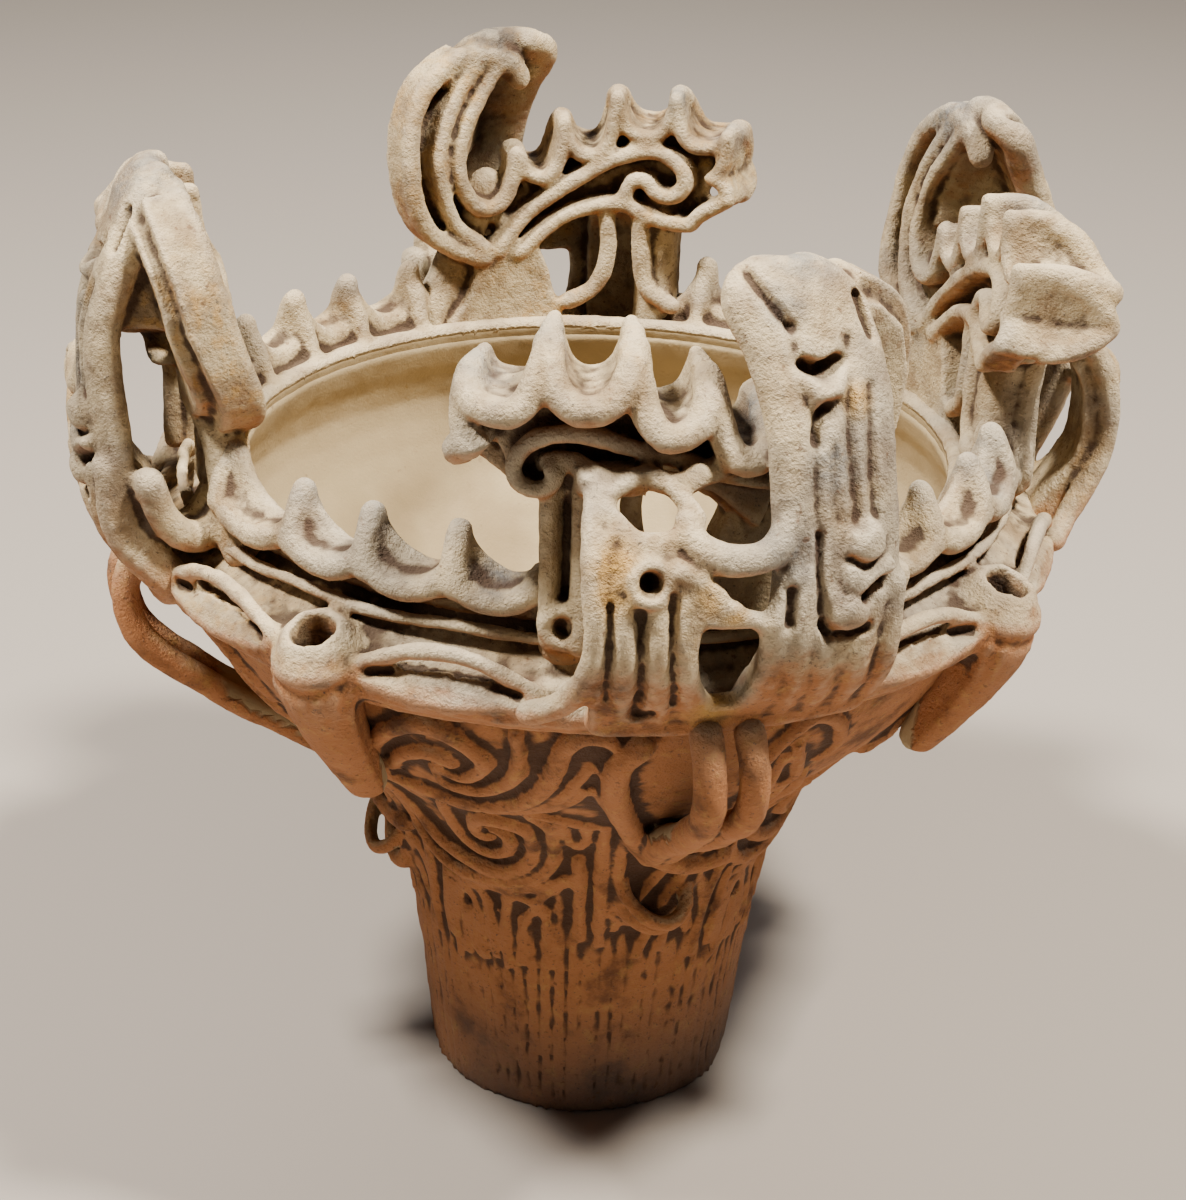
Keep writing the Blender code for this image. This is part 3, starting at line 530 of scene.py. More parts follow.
bpy.ops.object.select_all(action="DESELECT")
bpy.ops.mesh.primitive_circle_add(vertices=420, radius=outer_steps[0][0], fill_type="NGON",
                                  location=(0, 0, 0))
wall = bpy.context.object
bpy.ops.object.mode_set(mode="EDIT")
bpy.ops.mesh.select_all(action="SELECT")
rim_steps = ((0.1330, 0.1900), (0.1310, 0.2010), (0.1245, 0.2060), (0.1190, 0.2120), (0.1117, 0.2140))
before = outer_steps[0]
for step in outer_steps[1:] + rim_steps + inner_steps:
    bpy.ops.mesh.extrude_region_move(TRANSFORM_OT_translate={"value": (0, 0, step[1] - before[1])})
    grow = step[0] / before[0]
    bpy.ops.transform.resize(value=(grow, grow, 1), center_override=(0, 0, step[1]))
    before = step
bpy.ops.mesh.select_all(action="SELECT")
bpy.ops.mesh.normals_make_consistent(inside=False)
bpy.ops.object.mode_set(mode="OBJECT")
places, faces = points_of(wall)
radius = np.hypot(places[:, 0], places[:, 1])
turns = np.arctan2(places[:, 1], places[:, 0])
heights = places[:, 2]
outward = places[:, 0] * faces[:, 0] + places[:, 1] * faces[:, 1] > 0
outside = (heights < 0.100) & (radius > 0.0492) & outward
ribs = np.abs(np.sin(37 * turns + 1.1 * np.sin(3 * turns) + 3 * heights)) ** 0.6
ribs *= 0.0013 + 0.0004 * np.sin(7 * turns + 18 * heights)
ribs += 0.0003 * np.sin(91 * turns + 1.6 * np.sin(5 * turns)) - 0.0009
places[outside] *= (1 + ribs / radius)[outside, None] ** np.array((1, 1, 0))
wall.data.vertices.foreach_set("co", places.ravel())
lump.from_mesh(wall.data)
bpy.data.objects.remove(wall, do_unlink=True)

# Rolled lines of the shoulder, in degrees from a ring and mm up, with their half thickness in mm
shoulder_lines = (
    (3.0, ((0.0, 150), (0.8, 159), (3.4, 168), (7.3, 176), (11.3, 180), (14.6, 179), (16.8, 175),
           (18.5, 170.5), (18.6, 165.8), (16.6, 160.5), (14.3, 158.5), (12.2, 160), (11.5, 163))),
    (2.8, ((2.2, 153), (5.5, 161.5), (8.8, 166.5), (11.4, 168.5), (13.2, 166.5), (13.9, 163.5))),
    (2.9, ((10.6, 160), (10.7, 156), (11.8, 153.4), (14.4, 152.4), (17.8, 153.4), (20.9, 157.8),
           (22.9, 164), (23.7, 172), (23.6, 181))),
    (3.2, ((-6, 146), (-1, 147), (4, 146), (8, 143.5), (13, 142), (18, 143.5), (23, 149), (26.6, 158.5),
           (28.4, 169), (29.5, 177), (31.5, 182), (34.5, 181.5), (37, 176))),
    (2.2, ((2, 137), (7, 136.5), (12, 137), (17.5, 138.8), (23.5, 143.5), (28.6, 153), (31.5, 163),
           (33, 169))),
    (2.0, ((20, 140), (26, 143.5), (30.5, 151), (33, 158), (35.6, 148), (38, 136), (40, 126))),
    (2.2, ((20, 139), (26, 137), (31, 133), (36, 128))),
    (3.0, ((-13, 137), (-13.5, 128), (-13.2, 118), (-11, 109), (-6, 103), (1, 99.5), (9, 98.7),
           (15.6, 101.8), (19.6, 108.6), (20.4, 118.5), (18.6, 126.5), (14, 129), (9.5, 125.5),
           (6.2, 118), (7, 113.5), (9, 113))),
    (2.7, ((4, 133), (1.2, 124.8), (0.2, 115), (3.0, 108.2), (8.3, 106.2), (12.9, 108.8), (14.6, 114.2),
           (13.4, 118), (10.8, 118.2))),
    (2.8, ((-17, 122), (-17, 110), (-14, 99), (-7, 94), (2.8, 92.8), (12.7, 95), (20.7, 100), (24.6, 108),
           (25.3, 119), (24.8, 129), (22, 136))),
    (2.2, ((-6, 88.5), (4.8, 89.2), (13.4, 91), (20.9, 94.8), (28, 99.5))),
    (2.4, ((-22, 150), (-19, 138), (-20, 120), (-24, 100), (-29, 82), (-33, 66))),
    (2.4, ((-26, 158), (-24, 140), (-25, 118), (-30, 98), (-36, 80), (-40, 64))),
    (2.4, ((-30, 166), (-29, 146), (-31, 124), (-36, 104), (-42, 86))),
    (2.3, ((-15.8, 104), (-17.5, 90), (-19.5, 74), (-20.5, 60))),
    (2.2, ((-11.1, 93), (-12.8, 78), (-14, 62))),
    (2.0, ((-10.6, 55), (-9.8, 68), (-8, 79), (-4.6, 85.5), (-1.6, 81), (0.2, 70), (0.8, 58))),
    (1.8, ((-6.6, 58), (-5.6, 70), (-4.4, 76), (-3.2, 70), (-2.4, 58))),
    (2.1, ((-9, 88), (-2.7, 88.6), (1.8, 85.5), (4.1, 73), (4.6, 60))),
    (2.1, ((8.8, 58), (8.8, 71), (9.8, 84.6), (13.8, 88), (18.2, 86.6), (22.6, 91.6), (29, 97))),
    (1.7, ((13.4, 60), (14, 74), (17, 81), (20.4, 84.6), (22, 74), (22.4, 60))),
    (2.0, ((27, 133), (28.4, 122), (30.2, 115.4), (32.4, 118), (33, 131))),
    (2.6, ((36.5, 128), (37, 109), (37.3, 91), (37.6, 70))),
    (2.6, ((40.5, 122), (41.4, 100), (42.3, 76))),
    (2.2, ((31, 108), (31.4, 94), (31.8, 72))),
    (2.4, ((57.6, 152), (57, 164), (57.8, 174), (60.4, 181), (63.6, 180.6), (66.8, 174), (68.6, 165),
           (67.6, 158))),
    (2.4, ((63.5, 137), (62.2, 147), (64.8, 153), (63, 162), (61, 170))),
    (2.4, ((60, 150), (60.5, 136), (64, 122), (70, 110))),
    (2.2, ((83.4, 86), (79.8, 82), (77.8, 74), (77, 62))),
    (2.0, ((61, 99), (64, 84), (66, 70))),
    (2.0, ((65.6, 98), (69.5, 82), (71, 68))),
)
for ring_turn in ring_turns:
    for half_thick, line in shoulder_lines:
        last_width = 0.4 if line[-1][1] < 90 else 0.6
        coil([on_wall(ring_turn + turn, up * mm, 0.35 * half_thick * mm) for turn, up in smooth_pairs(line)],
             half_thick * mm, widths=(0.55, 0.95, 1.0, 1.0, 0.95, last_width))

# The double loop under each handle, in mm up and out, and the rim and cup of the pit beside it
loop_side = ((190, 143.5), (180, 146.5), (168, 144), (158, 136.5), (150, 126), (142, 116), (133, 102),
             (122, 86), (113, 75))
pit_rim = ((-8.6, 180), (-10.8, 174), (-11.5, 166), (-10.6, 151), (-8, 136), (-5, 124), (-1, 114),
           (6, 106.5), (14, 103), (22, 103))
cup = ((-5.4, 99, 1), (-3.6, 93, 6), (1.0, 87, 11), (6.5, 84.5, 12), (11.5, 87, 9), (14.0, 93, 2))
cup_foot = ((-7.5, 91), (-5.5, 82), (4, 79.2), (13, 80.6))
for middle in handle_turns:
    for side, half_thick in ((-1.9, 4.9), (3.0, 4.6)):
        line = [polar(middle + side + 0.035 * (168 - up), out * mm, up * mm) for up, out in loop_side]
        coil(smooth(line, 3), half_thick * mm)
    coil([on_wall(middle + turn, up * mm, 0.0025) for turn, up in smooth_pairs(pit_rim)], 4.2 * mm)
    coil(smooth([on_wall(middle + turn, up * mm, out * mm) for turn, up, out in cup]), 2.5 * mm)
    coil(smooth([on_wall(middle + turn, (up - 5.5) * mm, 0.45 * out * mm) for turn, up, out in cup]),
         3.2 * mm)
    coil(smooth([on_wall(middle + turn, up * mm, 0.0012) for turn, up in cup_foot]), 2.2 * mm)

vessel = fused("vessel", 1.10 * mm, 195000, rough=0.0003)
marked_wear_and_shade(vessel)
fired(vessel)

# Rim
# A steep band under a sunk channel and a round lip. Seventeen scooped teeth rise from it in
# four groups, with a ring spout between the groups and two toothed, leaf-shaped slots by each ring.
petal_rise = 0.0212
petal_reach = 0.0155
ring_radius, ring_hole = 0.0142, 0.0066
slot_half = 11.0
slot_sides = (-16.5, 16.0)
petal_rows = (
    ((-147.9, -131.1, -119.4, -107.1), -96.0, 0.40),
    ((-6.0, -16.5, -28.5, -41.5), -51.5, 0.40),
    ((35.5, 47.5, 60.0, 72.4), 82.0, 0.25),
    ((172.0, 159.7, 146.2, 134.7, 122.8), 112.5, 0.25),
)
petal_inside = ((0, 1, 0.60), (0.14, 0.62, 0.57), (0.35, 0.22, 0.53), (0.65, 0, 0.52), (0.88, 0.10, 0.53),
                (1, 0.30, 0.56))
petal_outside = ((0, 0.95, 0.68), (0.02, 0.66, 0.88), (0.10, 0.42, 0.98), (0.30, 0.29, 1),
                 (0.58, 0.26, 1), (0.82, 0.36, 0.98), (0.96, 0.50, 0.86), (1, 0.60, 0.66))
band_steps = ((0.1108, 0.2135), (0.1183, 0.2130), (0.1243, 0.2070), (0.1314, 0.2020), (0.1360, 0.2010),
              (0.1375, 0.1960), (0.1375, 0.1900), (0.1350, 0.1860), (0.1290, 0.1850), (0.1200, 0.1900),
              (0.1140, 0.2020), (0.1090, 0.2100))


def evenly(line, count):
    """The same line with this many points, at equal steps along it."""
    lengths = [0.0]
    for a, b in zip(line, line[1:]):
        lengths.append(lengths[-1] + (b - a).length)
    found = []
    k = 0
    for i in range(count):
        want = lengths[-1] * i / (count - 1)
        while k < len(line) - 2 and lengths[k + 1] < want:
            k += 1
        found.append(between(line[k], line[k + 1], (want - lengths[k]) / (lengths[k + 1] - lengths[k])))
    return found


def smooth_rows(rows, steps=2):
    """Rows of points with flowing rows added between them."""
    columns = [smooth(column, steps) for column in zip(*rows)]
    return [list(row) for row in zip(*columns)]


def scoop(inner, outer, edge, sag, thick=0.0060):
    """A scooped slab from an inner edge line to an outer one, which is rolled thick."""
    rows = []
    for i in range(7):
        share = i / 6
        drop = Vector((0, 0, -4 * sag * share * (1 - share)))
        rows.append([between(a, b, share) + drop for a, b in zip(inner, outer)])
    slab(rows, 0.62 * thick)
    slab([[point - Vector((0, 0, 0.32 * thick)) for point in row] for row in rows[2:]], 0.62 * thick)
    coil([point - Vector((0, 0, 0.12 * thick)) for point in outer], edge)
    coil(inner, 0.31 * thick)


def petal(tip, end, low):
    """One tooth: a dish that leans out from its tip, and a ridge inside down to the lip."""
    def spot(share, rise, reach):
        return polar(between(tip, end, share), lip_radius + reach * petal_reach,
                     lip_height + rise * petal_rise)

    inner = evenly(smooth([spot(share, low + (1 - low) * rise, reach)
                           for share, rise, reach in petal_inside], 3), 17)
    outer = evenly(smooth([spot(*values) for values in petal_outside], 3), 17)
    scoop(inner, outer, 0.0040, 0.0006, 0.0078)
    foot = [spot(i / 16, -0.10, 0.48) for i in range(17)]
    slab([foot, [between(a, b, 0.5) for a, b in zip(foot, inner)], inner], 0.0058)
    coil(smooth([spot(0, 0.98, 0.64), spot(0.05, 0.50, 0.36), spot(0.07, -0.05, 0.06)]), 0.0036,
         widths=(1.05, 0.9, 0.6))
    coil(smooth([spot(0, 1.0, 0.60), spot(0.0, 0.62, 0.84), spot(0.05, 0.34, 1.0)]), 0.0040)


def ring_axes(turn):
    """The middle of a ring's mouth, and the directions out of it, across it and up its slope."""
    mouth = polar(turn, band_radius + 0.0015, band_height + 0.0100)
    out = polar(turn, 0.34, 0.94).normalized()
    across = Vector((-math.sin(math.radians(turn)), math.cos(math.radians(turn)), 0))
    return mouth, out, across, out.cross(across)


def ring_tube(turn):
    """A short open tube that stands on the band's edge and tapers away down the shoulder."""
    mouth, out, across, slope = ring_axes(turn)
    middle = 0.5 * (ring_radius + ring_hole)
    circle = [mouth - 0.003 * out + middle * (math.cos(a) * across + math.sin(a) * slope)
              for a in (2 * math.pi * i / 28 for i in range(28))]
    coil(circle, 0.5 * (ring_radius - ring_hole), closed=True)
    path = smooth([mouth - 0.004 * out, polar(turn, band_radius - 0.002, band_height - 0.006),
                   polar(turn, 0.1280, 0.1700), polar(turn, 0.1160, 0.1500)])
    coil(path, 0.93 * ring_radius, widths=(1.0, 0.42))
    for share in (-0.90, -0.66, -0.40, -0.12, 0.16, 0.44, 0.70, 0.92):
        lean = math.sqrt(1 - share * share)
        away = share * across + 0.90 * lean * polar(turn, 0.86, -0.5)
        line = [point + ring_radius * (1 - 0.62 * (i + 1) / len(path)) * away
                for i, point in enumerate(path[1:])]
        coil(line, 0.0018, widths=(1.2, 1.0, 0.8))


def band_point(turn, share):
    """A point on the steep face of the band: share 0 is its lower edge and 1 its upper one."""
    radius = between(band_radius + 0.0030, band_radius + 0.0010, share)
    return polar(turn, radius, band_height + 0.003 + 0.013 * share)


def leaf_slot(turn):
    """A pointed oval frame of coil on the band, with a row of small teeth in its lower half."""
    upper = [band_point(turn + slot_half * x, 0.22 + 0.78 * math.cos(0.5 * math.pi * x) ** 0.8)
             for x in (-1.0, -0.6, -0.2, 0.2, 0.6, 1.0)]
    lower = [band_point(turn + slot_half * x, 0.22 - 0.30 * math.cos(0.5 * math.pi * x) ** 0.8)
             for x in (0.6, 0.2, -0.2, -0.6)]
    coil(smooth(upper + lower, 4, closed=True), 0.0026, closed=True)
    for i in range(-6, 7):
        x = i / 7
        lift = 0.30 * math.cos(0.5 * math.pi * x)
        coil([band_point(turn + slot_half * x, 0.20 - 0.9 * lift),
              band_point(turn + slot_half * x * 0.96 + 0.4, 0.24 + 0.8 * lift)], 0.0013)


band_turns = 180
band_across = len(band_steps)
band_faces = []
for i in range(band_turns):
    here = i * band_across
    after = (i + 1) % band_turns * band_across
    for j in range(band_across):
        beside = (j + 1) % band_across
        band_faces.append((here + j, here + beside, after + beside, after + j))
band = bpy.data.meshes.new("band")
band.from_pydata([polar(360 * i / band_turns, *step) for i in range(band_turns) for step in band_steps],
                 [], band_faces)
lay(band)
bmesh.ops.recalc_face_normals(lump, faces=lump.faces)
# Round lip, thin coil in the channel and rolled edge of the band, with how much each one waves
for radius, level, half_thick, wave in ((lip_radius, lip_height, 0.0036, 0.0),
                                        (0.1269, 0.2105, 0.0021, 0.0006),
                                        (0.1365, 0.1930, 0.0044, 0.0)):
    coil([polar(3 * i, radius, level + wave * math.sin(math.radians(48 * i))) for i in range(120)],
         half_thick, closed=True)
for tips, end, low in petal_rows:
    for tip, after in zip(tips, (*tips[1:], end)):
        petal(tip, after, low)
for ring_turn in ring_turns:
    ring_tube(ring_turn)
    for side in slot_sides:
        leaf_slot(ring_turn + side)

rods = bmesh.new()
for ring_turn in ring_turns:
    mouth, out, across, slope = ring_axes(ring_turn)
    turn = Matrix((across, slope, out)).transposed().to_4x4()
    bmesh.ops.create_cone(rods, cap_ends=True, segments=24, radius1=0.72 * ring_hole,
                          radius2=1.12 * ring_hole, depth=0.0300,
                          matrix=Matrix.Translation(mouth - 0.0010 * out) @ turn)
rod_mesh = bpy.data.meshes.new("bores")
rods.to_mesh(rod_mesh)
rods.free()
bores = bpy.data.objects.new("bores", rod_mesh)
bpy.context.scene.collection.objects.link(bores)

slot_presses = []
for ring_turn in ring_turns:
    for side in slot_sides:
        turn = ring_turn + side
        line = smooth([band_point(turn + 8.6 * x, 0.30 + 0.20 * (1 - x * x))
                       for x in (-1, -0.5, 0, 0.5, 1)])
        slot_presses.append((line, 2.4 * mm, 3.8 * mm, -polar(turn, 1, 0.2)))
rim = fused("rim", 0.95 * mm, 190000, slot_presses, bores)
finish_with(vessel, "bores", "BOOLEAN", operation="DIFFERENCE", object=bores, solver="EXACT")
bpy.data.objects.remove(bores, do_unlink=True)
tips_blue = [(polar(turn, lip_radius + 0.009, lip_height + 0.021), 0.0075)
             for turn in (-147.9, -131.1, -119.4, -107.1, -16.5, -28.5, -41.5, 35.5, 134.7)]
tips_blue += [(polar(-102, lip_radius + 0.011, lip_height + 0.008), 0.014),
              (polar(-23, lip_radius + 0.011, lip_height + 0.012), 0.009)]
marked_wear_and_shade(rim, sooty=tips_blue)
fired(rim)

# Handles
# Four tall pierced handles, modelled by hand from coils, straps and pads: a toothed crest to one
# side, a curled tail to the other, and a strap bowed out to the band. Their points are degrees from
# the handle's middle, hundredths of its height above the lip, and mm out from the lip.
tail_top = 0.3130
rope = 0.0029
# Outlines of the crest and the tail, in turn and rise
crest_tips = ((5.2, 61), (-2.4, 72), (-11.2, 81), (-21.0, 82), (-30.4, 71), (-31.2, 49))
crest_valleys = ((1.2, 53), (-7.3, 61), (-16.4, 68), (-25.4, 66), (-27.6, 56))
tail_outer = ((11.6, 26), (16.9, 30), (21.6, 37), (24.7, 50), (25.0, 68), (22.6, 82), (18.7, 90),
              (14.5, 95))
tail_middle = ((12.0, 30), (17.0, 39), (19.8, 58), (18.5, 72), (15.0, 85), (10.5, 94))
tail_inner = ((5.9, 62), (6.2, 55), (8.0, 46), (11.0, 43), (14.2, 47), (16.2, 58), (14.7, 72), (11.0, 84),
              (8.4, 92))
tail_ground_outer = ((12.5, 30), (17.5, 33), (21.5, 40), (23.6, 52), (23.6, 68), (21.5, 81), (17.5, 89),
                     (13.5, 93.5))
tail_ground_inner = ((9.0, 34), (11.5, 42), (14.5, 47), (16.0, 57), (15.2, 70), (12.0, 82), (9.0, 89),
                     (6.0, 94))
scroll_upper = ((9.0, 28), (5.3, 38), (1.1, 45), (-7.2, 56), (-13.5, 62), (-18.7, 63), (-22.3, 59),
                (-23.4, 53), (-21.3, 48), (-18.2, 49), (-16.6, 53), (-14.4, 53), (-13.2, 48), (-13.6, 44))
scroll_lower = ((5.3, 27), (-2.0, 39), (-9.3, 44), (-13.5, 44), (-17.7, 40), (-23.9, 38))
outer_scroll = ((6.5, 41), (4.2, 41), (-0.7, 44), (-4.5, 48), (-9.0, 51), (-13.0, 54), (-16.4, 56),
                (-19.7, 56), (-22.7, 53), (-24.4, 47), (-24.0, 42), (-22.2, 40), (-20.4, 41), (-19.6, 44),
                (-20.3, 46))
# The diamond brow and the bowl's edge in turn, rise and mm out, then outlines of plate and panel
brow_top = ((-14.8, 43, 31), (-12.2, 47.0, 28), (-10.0, 48.8, 26), (-7.4, 46.4, 29), (-5.0, 40.6, 35.5))
brow_foot = ((-15.3, 47, 23), (-14.6, 44.5, 28), (-14.2, 41.0, 33), (-12.6, 37.6, 36.5),
             (-10.3, 34.6, 40), (-7.8, 36.0, 39.5), (-5.4, 38.6, 37.5))
brow_arm = ((-8.6, 47.4, 27), (-6.2, 46.6, 27.5), (-3.6, 48.0, 24.5), (-0.6, 47.4, 21), (2.8, 45.0, 17.0),
            (6.0, 42, 12), (8.5, 38, 8))
bowl_edge = ((-6.2, 40, 36), (-5.4, 35, 41), (-2.8, 31.4, 42.5), (0.6, 31.2, 42.5), (2.9, 34.6, 41.5),
             (4.2, 42, 39))
plate_edge = ((-15.3, 46), (-15.4, 40), (-15.2, 31), (-14.9, 20), (-14.8, 12), (-15.0, 3), (-16.2, -7),
              (-18.4, -15), (-21.8, -20))
panel_ledge = ((-7.4, 29.5), (-5.6, 27), (-4.6, 24.6), (-3.6, 22.6), (-3.0, 19), (-2.0, 18.6), (-1.0, 15.2))
panel_hole = ((-5.8, 14), (-4.8, 16.2), (-2.3, 15.6), (0.6, 14.6), (1.9, 7), (1.9, -5), (1.2, -14),
              (-2.1, -17), (-4.8, -8), (-5.8, 3), (-5.8, 14))
# Upright coils on the plate and on the strap, each with its half thickness in metres
plate_coils = (
    (((-12.3, 22), (-12.2, 8), (-12.1, -8), (-12.0, -22)), 0.0038),
    (((-9.1, 20), (-9.0, 8), (-8.7, -6), (-7.6, -22)), 0.0036),
    (((-6.6, 22), (-6.6, 8), (-5.8, -6), (-4.2, -22)), 0.0032),
)
strap_coils = (
    (((4.4, 27), (3.0, 18), (2.4, 12), (2.8, -6), (2.4, -22)), 0.0036),
    (((5.4, 26), (4.6, 12), (5.4, -6), (5.4, -22)), 0.0042),
    (((8.0, 20), (7.2, 4), (8.4, -10), (9.0, -22)), 0.0046),
    (((12.2, 18), (11.4, 2), (12.2, -10), (12.6, -22)), 0.0046),
    (((14.6, 20), (14.6, 2), (15.6, -10), (16.2, -22)), 0.0044),
)
# Foot's edges at each height, and the wedge's turn and depths in mm at each height
foot_edges = ((30, 13.5, 2.0), (20, 13.0, 0.0), (12, 14.5, -1.0), (4, 17.5, -2.4), (-2, 18.5, -3.0))
wedge_edges = ((16.0, 58, 8, 34), (15.2, 68, 8, 30), (12.6, 80, 10, 24), (10.6, 89, 11, 17))
# How far outside the lip a handle's outer face and its front plate stand, at each height
face_steps = ((-30, 26), (-22, 31), (-12, 38.5), (0, 46), (14, 48.5), (30, 47), (48, 44), (63, 41),
              (74, 36), (83, 31), (93, 26), (99, 20), (106, 14))
plate_steps = ((-30, 26), (-12, 38.5), (0, 46), (14, 48), (26, 46.5), (33.5, 43), (39, 38), (44.5, 31),
               (50, 18))
# The edges of the bowed strap at each height, on the left and the right
strap_edges = ((98.5, 3.4, 9.0), (96, 0.6, 11.2), (92, 0.0, 13.0), (86, 1.2, 13.8), (80, 2.2, 14.2),
               (69, 3.1, 14.4), (59, 3.6, 14.4), (47, 3.8, 14.3), (35, 4.0, 14.4), (22, 4.0, 14.4),
               (10, 3.6, 14.6), (0, 3.2, 15.0), (-12, 2.6, 15.6), (-22, 2.0, 16.0))


def on_handle(turn, rise, out):
    """A handle's point: degrees from its middle, height in hundredths from lip to tail top, mm out."""
    return polar(turn, lip_radius + out * mm, lip_height + (tail_top - lip_height) * rise / 100)


def inner_face(rise):
    """How far outside the lip the handle's inner face stands at this height."""
    return 1.5 + 9.0 * max(0.0, (rise - 55) / 45) ** 1.5


def outer_face(rise):
    """How far outside the lip the handle's outer face stands at this height."""
    return float(np.interp(rise, *zip(*face_steps)))


def plate_face(rise):
    """The outer face of the front plate, which leans back to the crest above its middle."""
    return float(np.interp(rise, *zip(*plate_steps)))


def traced(pairs):
    """A flowing line over the handle's inner face."""
    return smooth([on_handle(turn, rise, inner_face(rise)) for turn, rise in pairs], 3)


def through(spots):
    """A flowing line through points of turn, rise and mm out."""
    return smooth([on_handle(*spot) for spot in spots])


def ridge(pairs, size, deep=9.0, widths=None):
    """A wall of clay that stands on the sunk ground of the inner face, with a round top."""
    line = smooth_pairs(pairs, 3)
    slab([[on_handle(turn, rise, inner_face(rise) + out) for turn, rise in line]
          for out in (0, 0.5 * deep, deep)], 1.8 * size)
    coil(traced(pairs), size, widths=widths)


def over(pairs, face=outer_face, out=0.0):
    """A flowing line over one of the handle's outer faces."""
    return smooth([on_handle(turn, rise, face(rise) + out) for turn, rise in pairs], 3)


def face_web(left, right, thickness, out):
    """A slab between two lines of turn and rise that run side by side on the inner face."""
    rows = []
    for a, b in zip(left, right):
        line = [(between(a[0], b[0], i / 6), between(a[1], b[1], i / 6)) for i in range(7)]
        rows.append([on_handle(turn, rise, inner_face(rise) + out) for turn, rise in line])
    slab(rows, thickness)


def lobe(tip, valley, after):
    """A thick ear of clay between one point of the crest and the next, scooped and hanging outwards."""
    def spot(share, rise, out):
        turn = (between(tip[0], valley[0], 2 * share) if share < 0.5
                else between(valley[0], after[0], 2 * share - 1))
        top = tip[1] if share < 0.5 else after[1]
        return on_handle(turn, between(valley[1], top, rise), out)

    foot = inner_face(valley[1])
    inner = [spot(share, rise, foot) for share, rise in
             ((0, 1.04), (0.05, 0.62), (0.17, 0.22), (0.34, 0.03), (0.5, 0), (0.66, 0.03), (0.83, 0.22),
              (0.95, 0.62), (1, 1.04))]
    outer = [spot(share, rise, out * 26) for share, rise, out in
             ((0.015, 0.94, 0.56), (0.05, 0.66, 0.80), (0.16, 0.24, 0.96), (0.34, 0.0, 1.04),
              (0.5, -0.05, 1.06), (0.66, 0.0, 1.04), (0.84, 0.24, 0.96), (0.95, 0.66, 0.80),
              (0.985, 0.94, 0.56))]
    scoop(evenly(smooth(inner, 3), 21), evenly(smooth(outer, 3), 21), 0.0042, 0.0004, 0.0080)
    for end, share in ((inner[0], 0.0), (inner[-1], 1.0)):
        coil(smooth([end, spot(share, 1.0, 9), spot(share, 0.92, 15)]), 0.0036, widths=(0.60, 0.9, 1.0))


def strand(line, half_width, thickness):
    """A flat strip along a line of turn, rise and out."""
    rows = []
    for turn, rise, out in line:
        width = math.degrees(half_width / (lip_radius + out * mm))
        rows.append([on_handle(turn + share * width, rise, out) for share in (-1, -0.5, 0, 0.5, 1)])
    slab(smooth_rows(rows), thickness)


def lay_crest():
    """The crest's sunk ground with its scrolls, its lobes, and the scroll on its outer face."""
    ridge(scroll_upper, rope)
    ridge(scroll_lower, rope)
    ridge(((-31.2, 49), (-26.5, 43), (-24.5, 38)), rope)
    face_web(((7.0, 38), (1.5, 54), (-7.2, 63), (-16.4, 70), (-23.5, 71), (-28.6, 66)),
             ((5.0, 26), (-1.0, 38), (-9.3, 43), (-15.0, 42), (-20.0, 38), (-25.5, 40)), 0.0065, 10.5)
    for tip, valley, after in zip(crest_tips, crest_valleys, crest_tips[1:]):
        lobe(tip, valley, after)
    line = smooth_pairs(outer_scroll, 3)
    slab([[on_handle(turn, rise + lift, out) for turn, rise in line]
          for out, lift in ((8.0, 0), (14.0, 0.6), (21.0, 1.4))], 0.0038)
    coil([on_handle(turn, rise + 1.4, 21.2) for turn, rise in line], 0.0025,
         widths=(0.6, 1.0, 1.0, 1.0, 0.9))
    curl = ((-14.6, 45.5, 24), (-16.6, 48.5, 21), (-18.8, 49.5, 19), (-20.8, 48.5, 18), (-21.2, 46, 16))
    coil(through(curl), 0.0028, widths=(1.1, 1.0, 0.7))


def lay_tail():
    """The curled tail, its sunk ground and the cap where it turns over."""
    ridge(tail_outer, 1.2 * rope, 11.0)
    ridge(tail_middle, rope, 11.0)
    ridge(tail_inner, rope, 11.0)
    coil(through(((11.8, 27, 2.0), (11.8, 26, 8.0), (12.4, 27, 13.0))), 0.0036)
    face_web(tail_ground_outer, tail_ground_inner, 0.0080, 12.0)
    cap = ((16.0, 93), (12.0, 97.5), (7.0, 96), (4.6, 90))
    coil(smooth([on_handle(turn, rise - 4, 11.0) for turn, rise in cap]), 0.0058, widths=(0.9, 1.0, 0.7))


def lay_strap():
    """The broad strap bowed out from the tail to the band, and the wedge of clay behind it."""
    rows = []
    for rise, left, right in strap_edges:
        face = outer_face(rise) - 5.6
        rows.append([on_handle(between(left, right, i / 6), rise, face - 1.6 * abs(i / 3 - 1) ** 2)
                     for i in range(7)])
    rows = smooth_rows(rows)
    slab(rows, 0.0100)
    for k in (0, -1):
        coil([row[k] for row in rows], 0.0046)
    coil(rows[0], 0.0046)
    wedge = [[on_handle(between(turn, 10.5, i / 3), rise, between(inner, outer, i / 3)) for i in range(4)]
             for turn, rise, inner, outer in wedge_edges]
    slab(wedge, 0.0090)


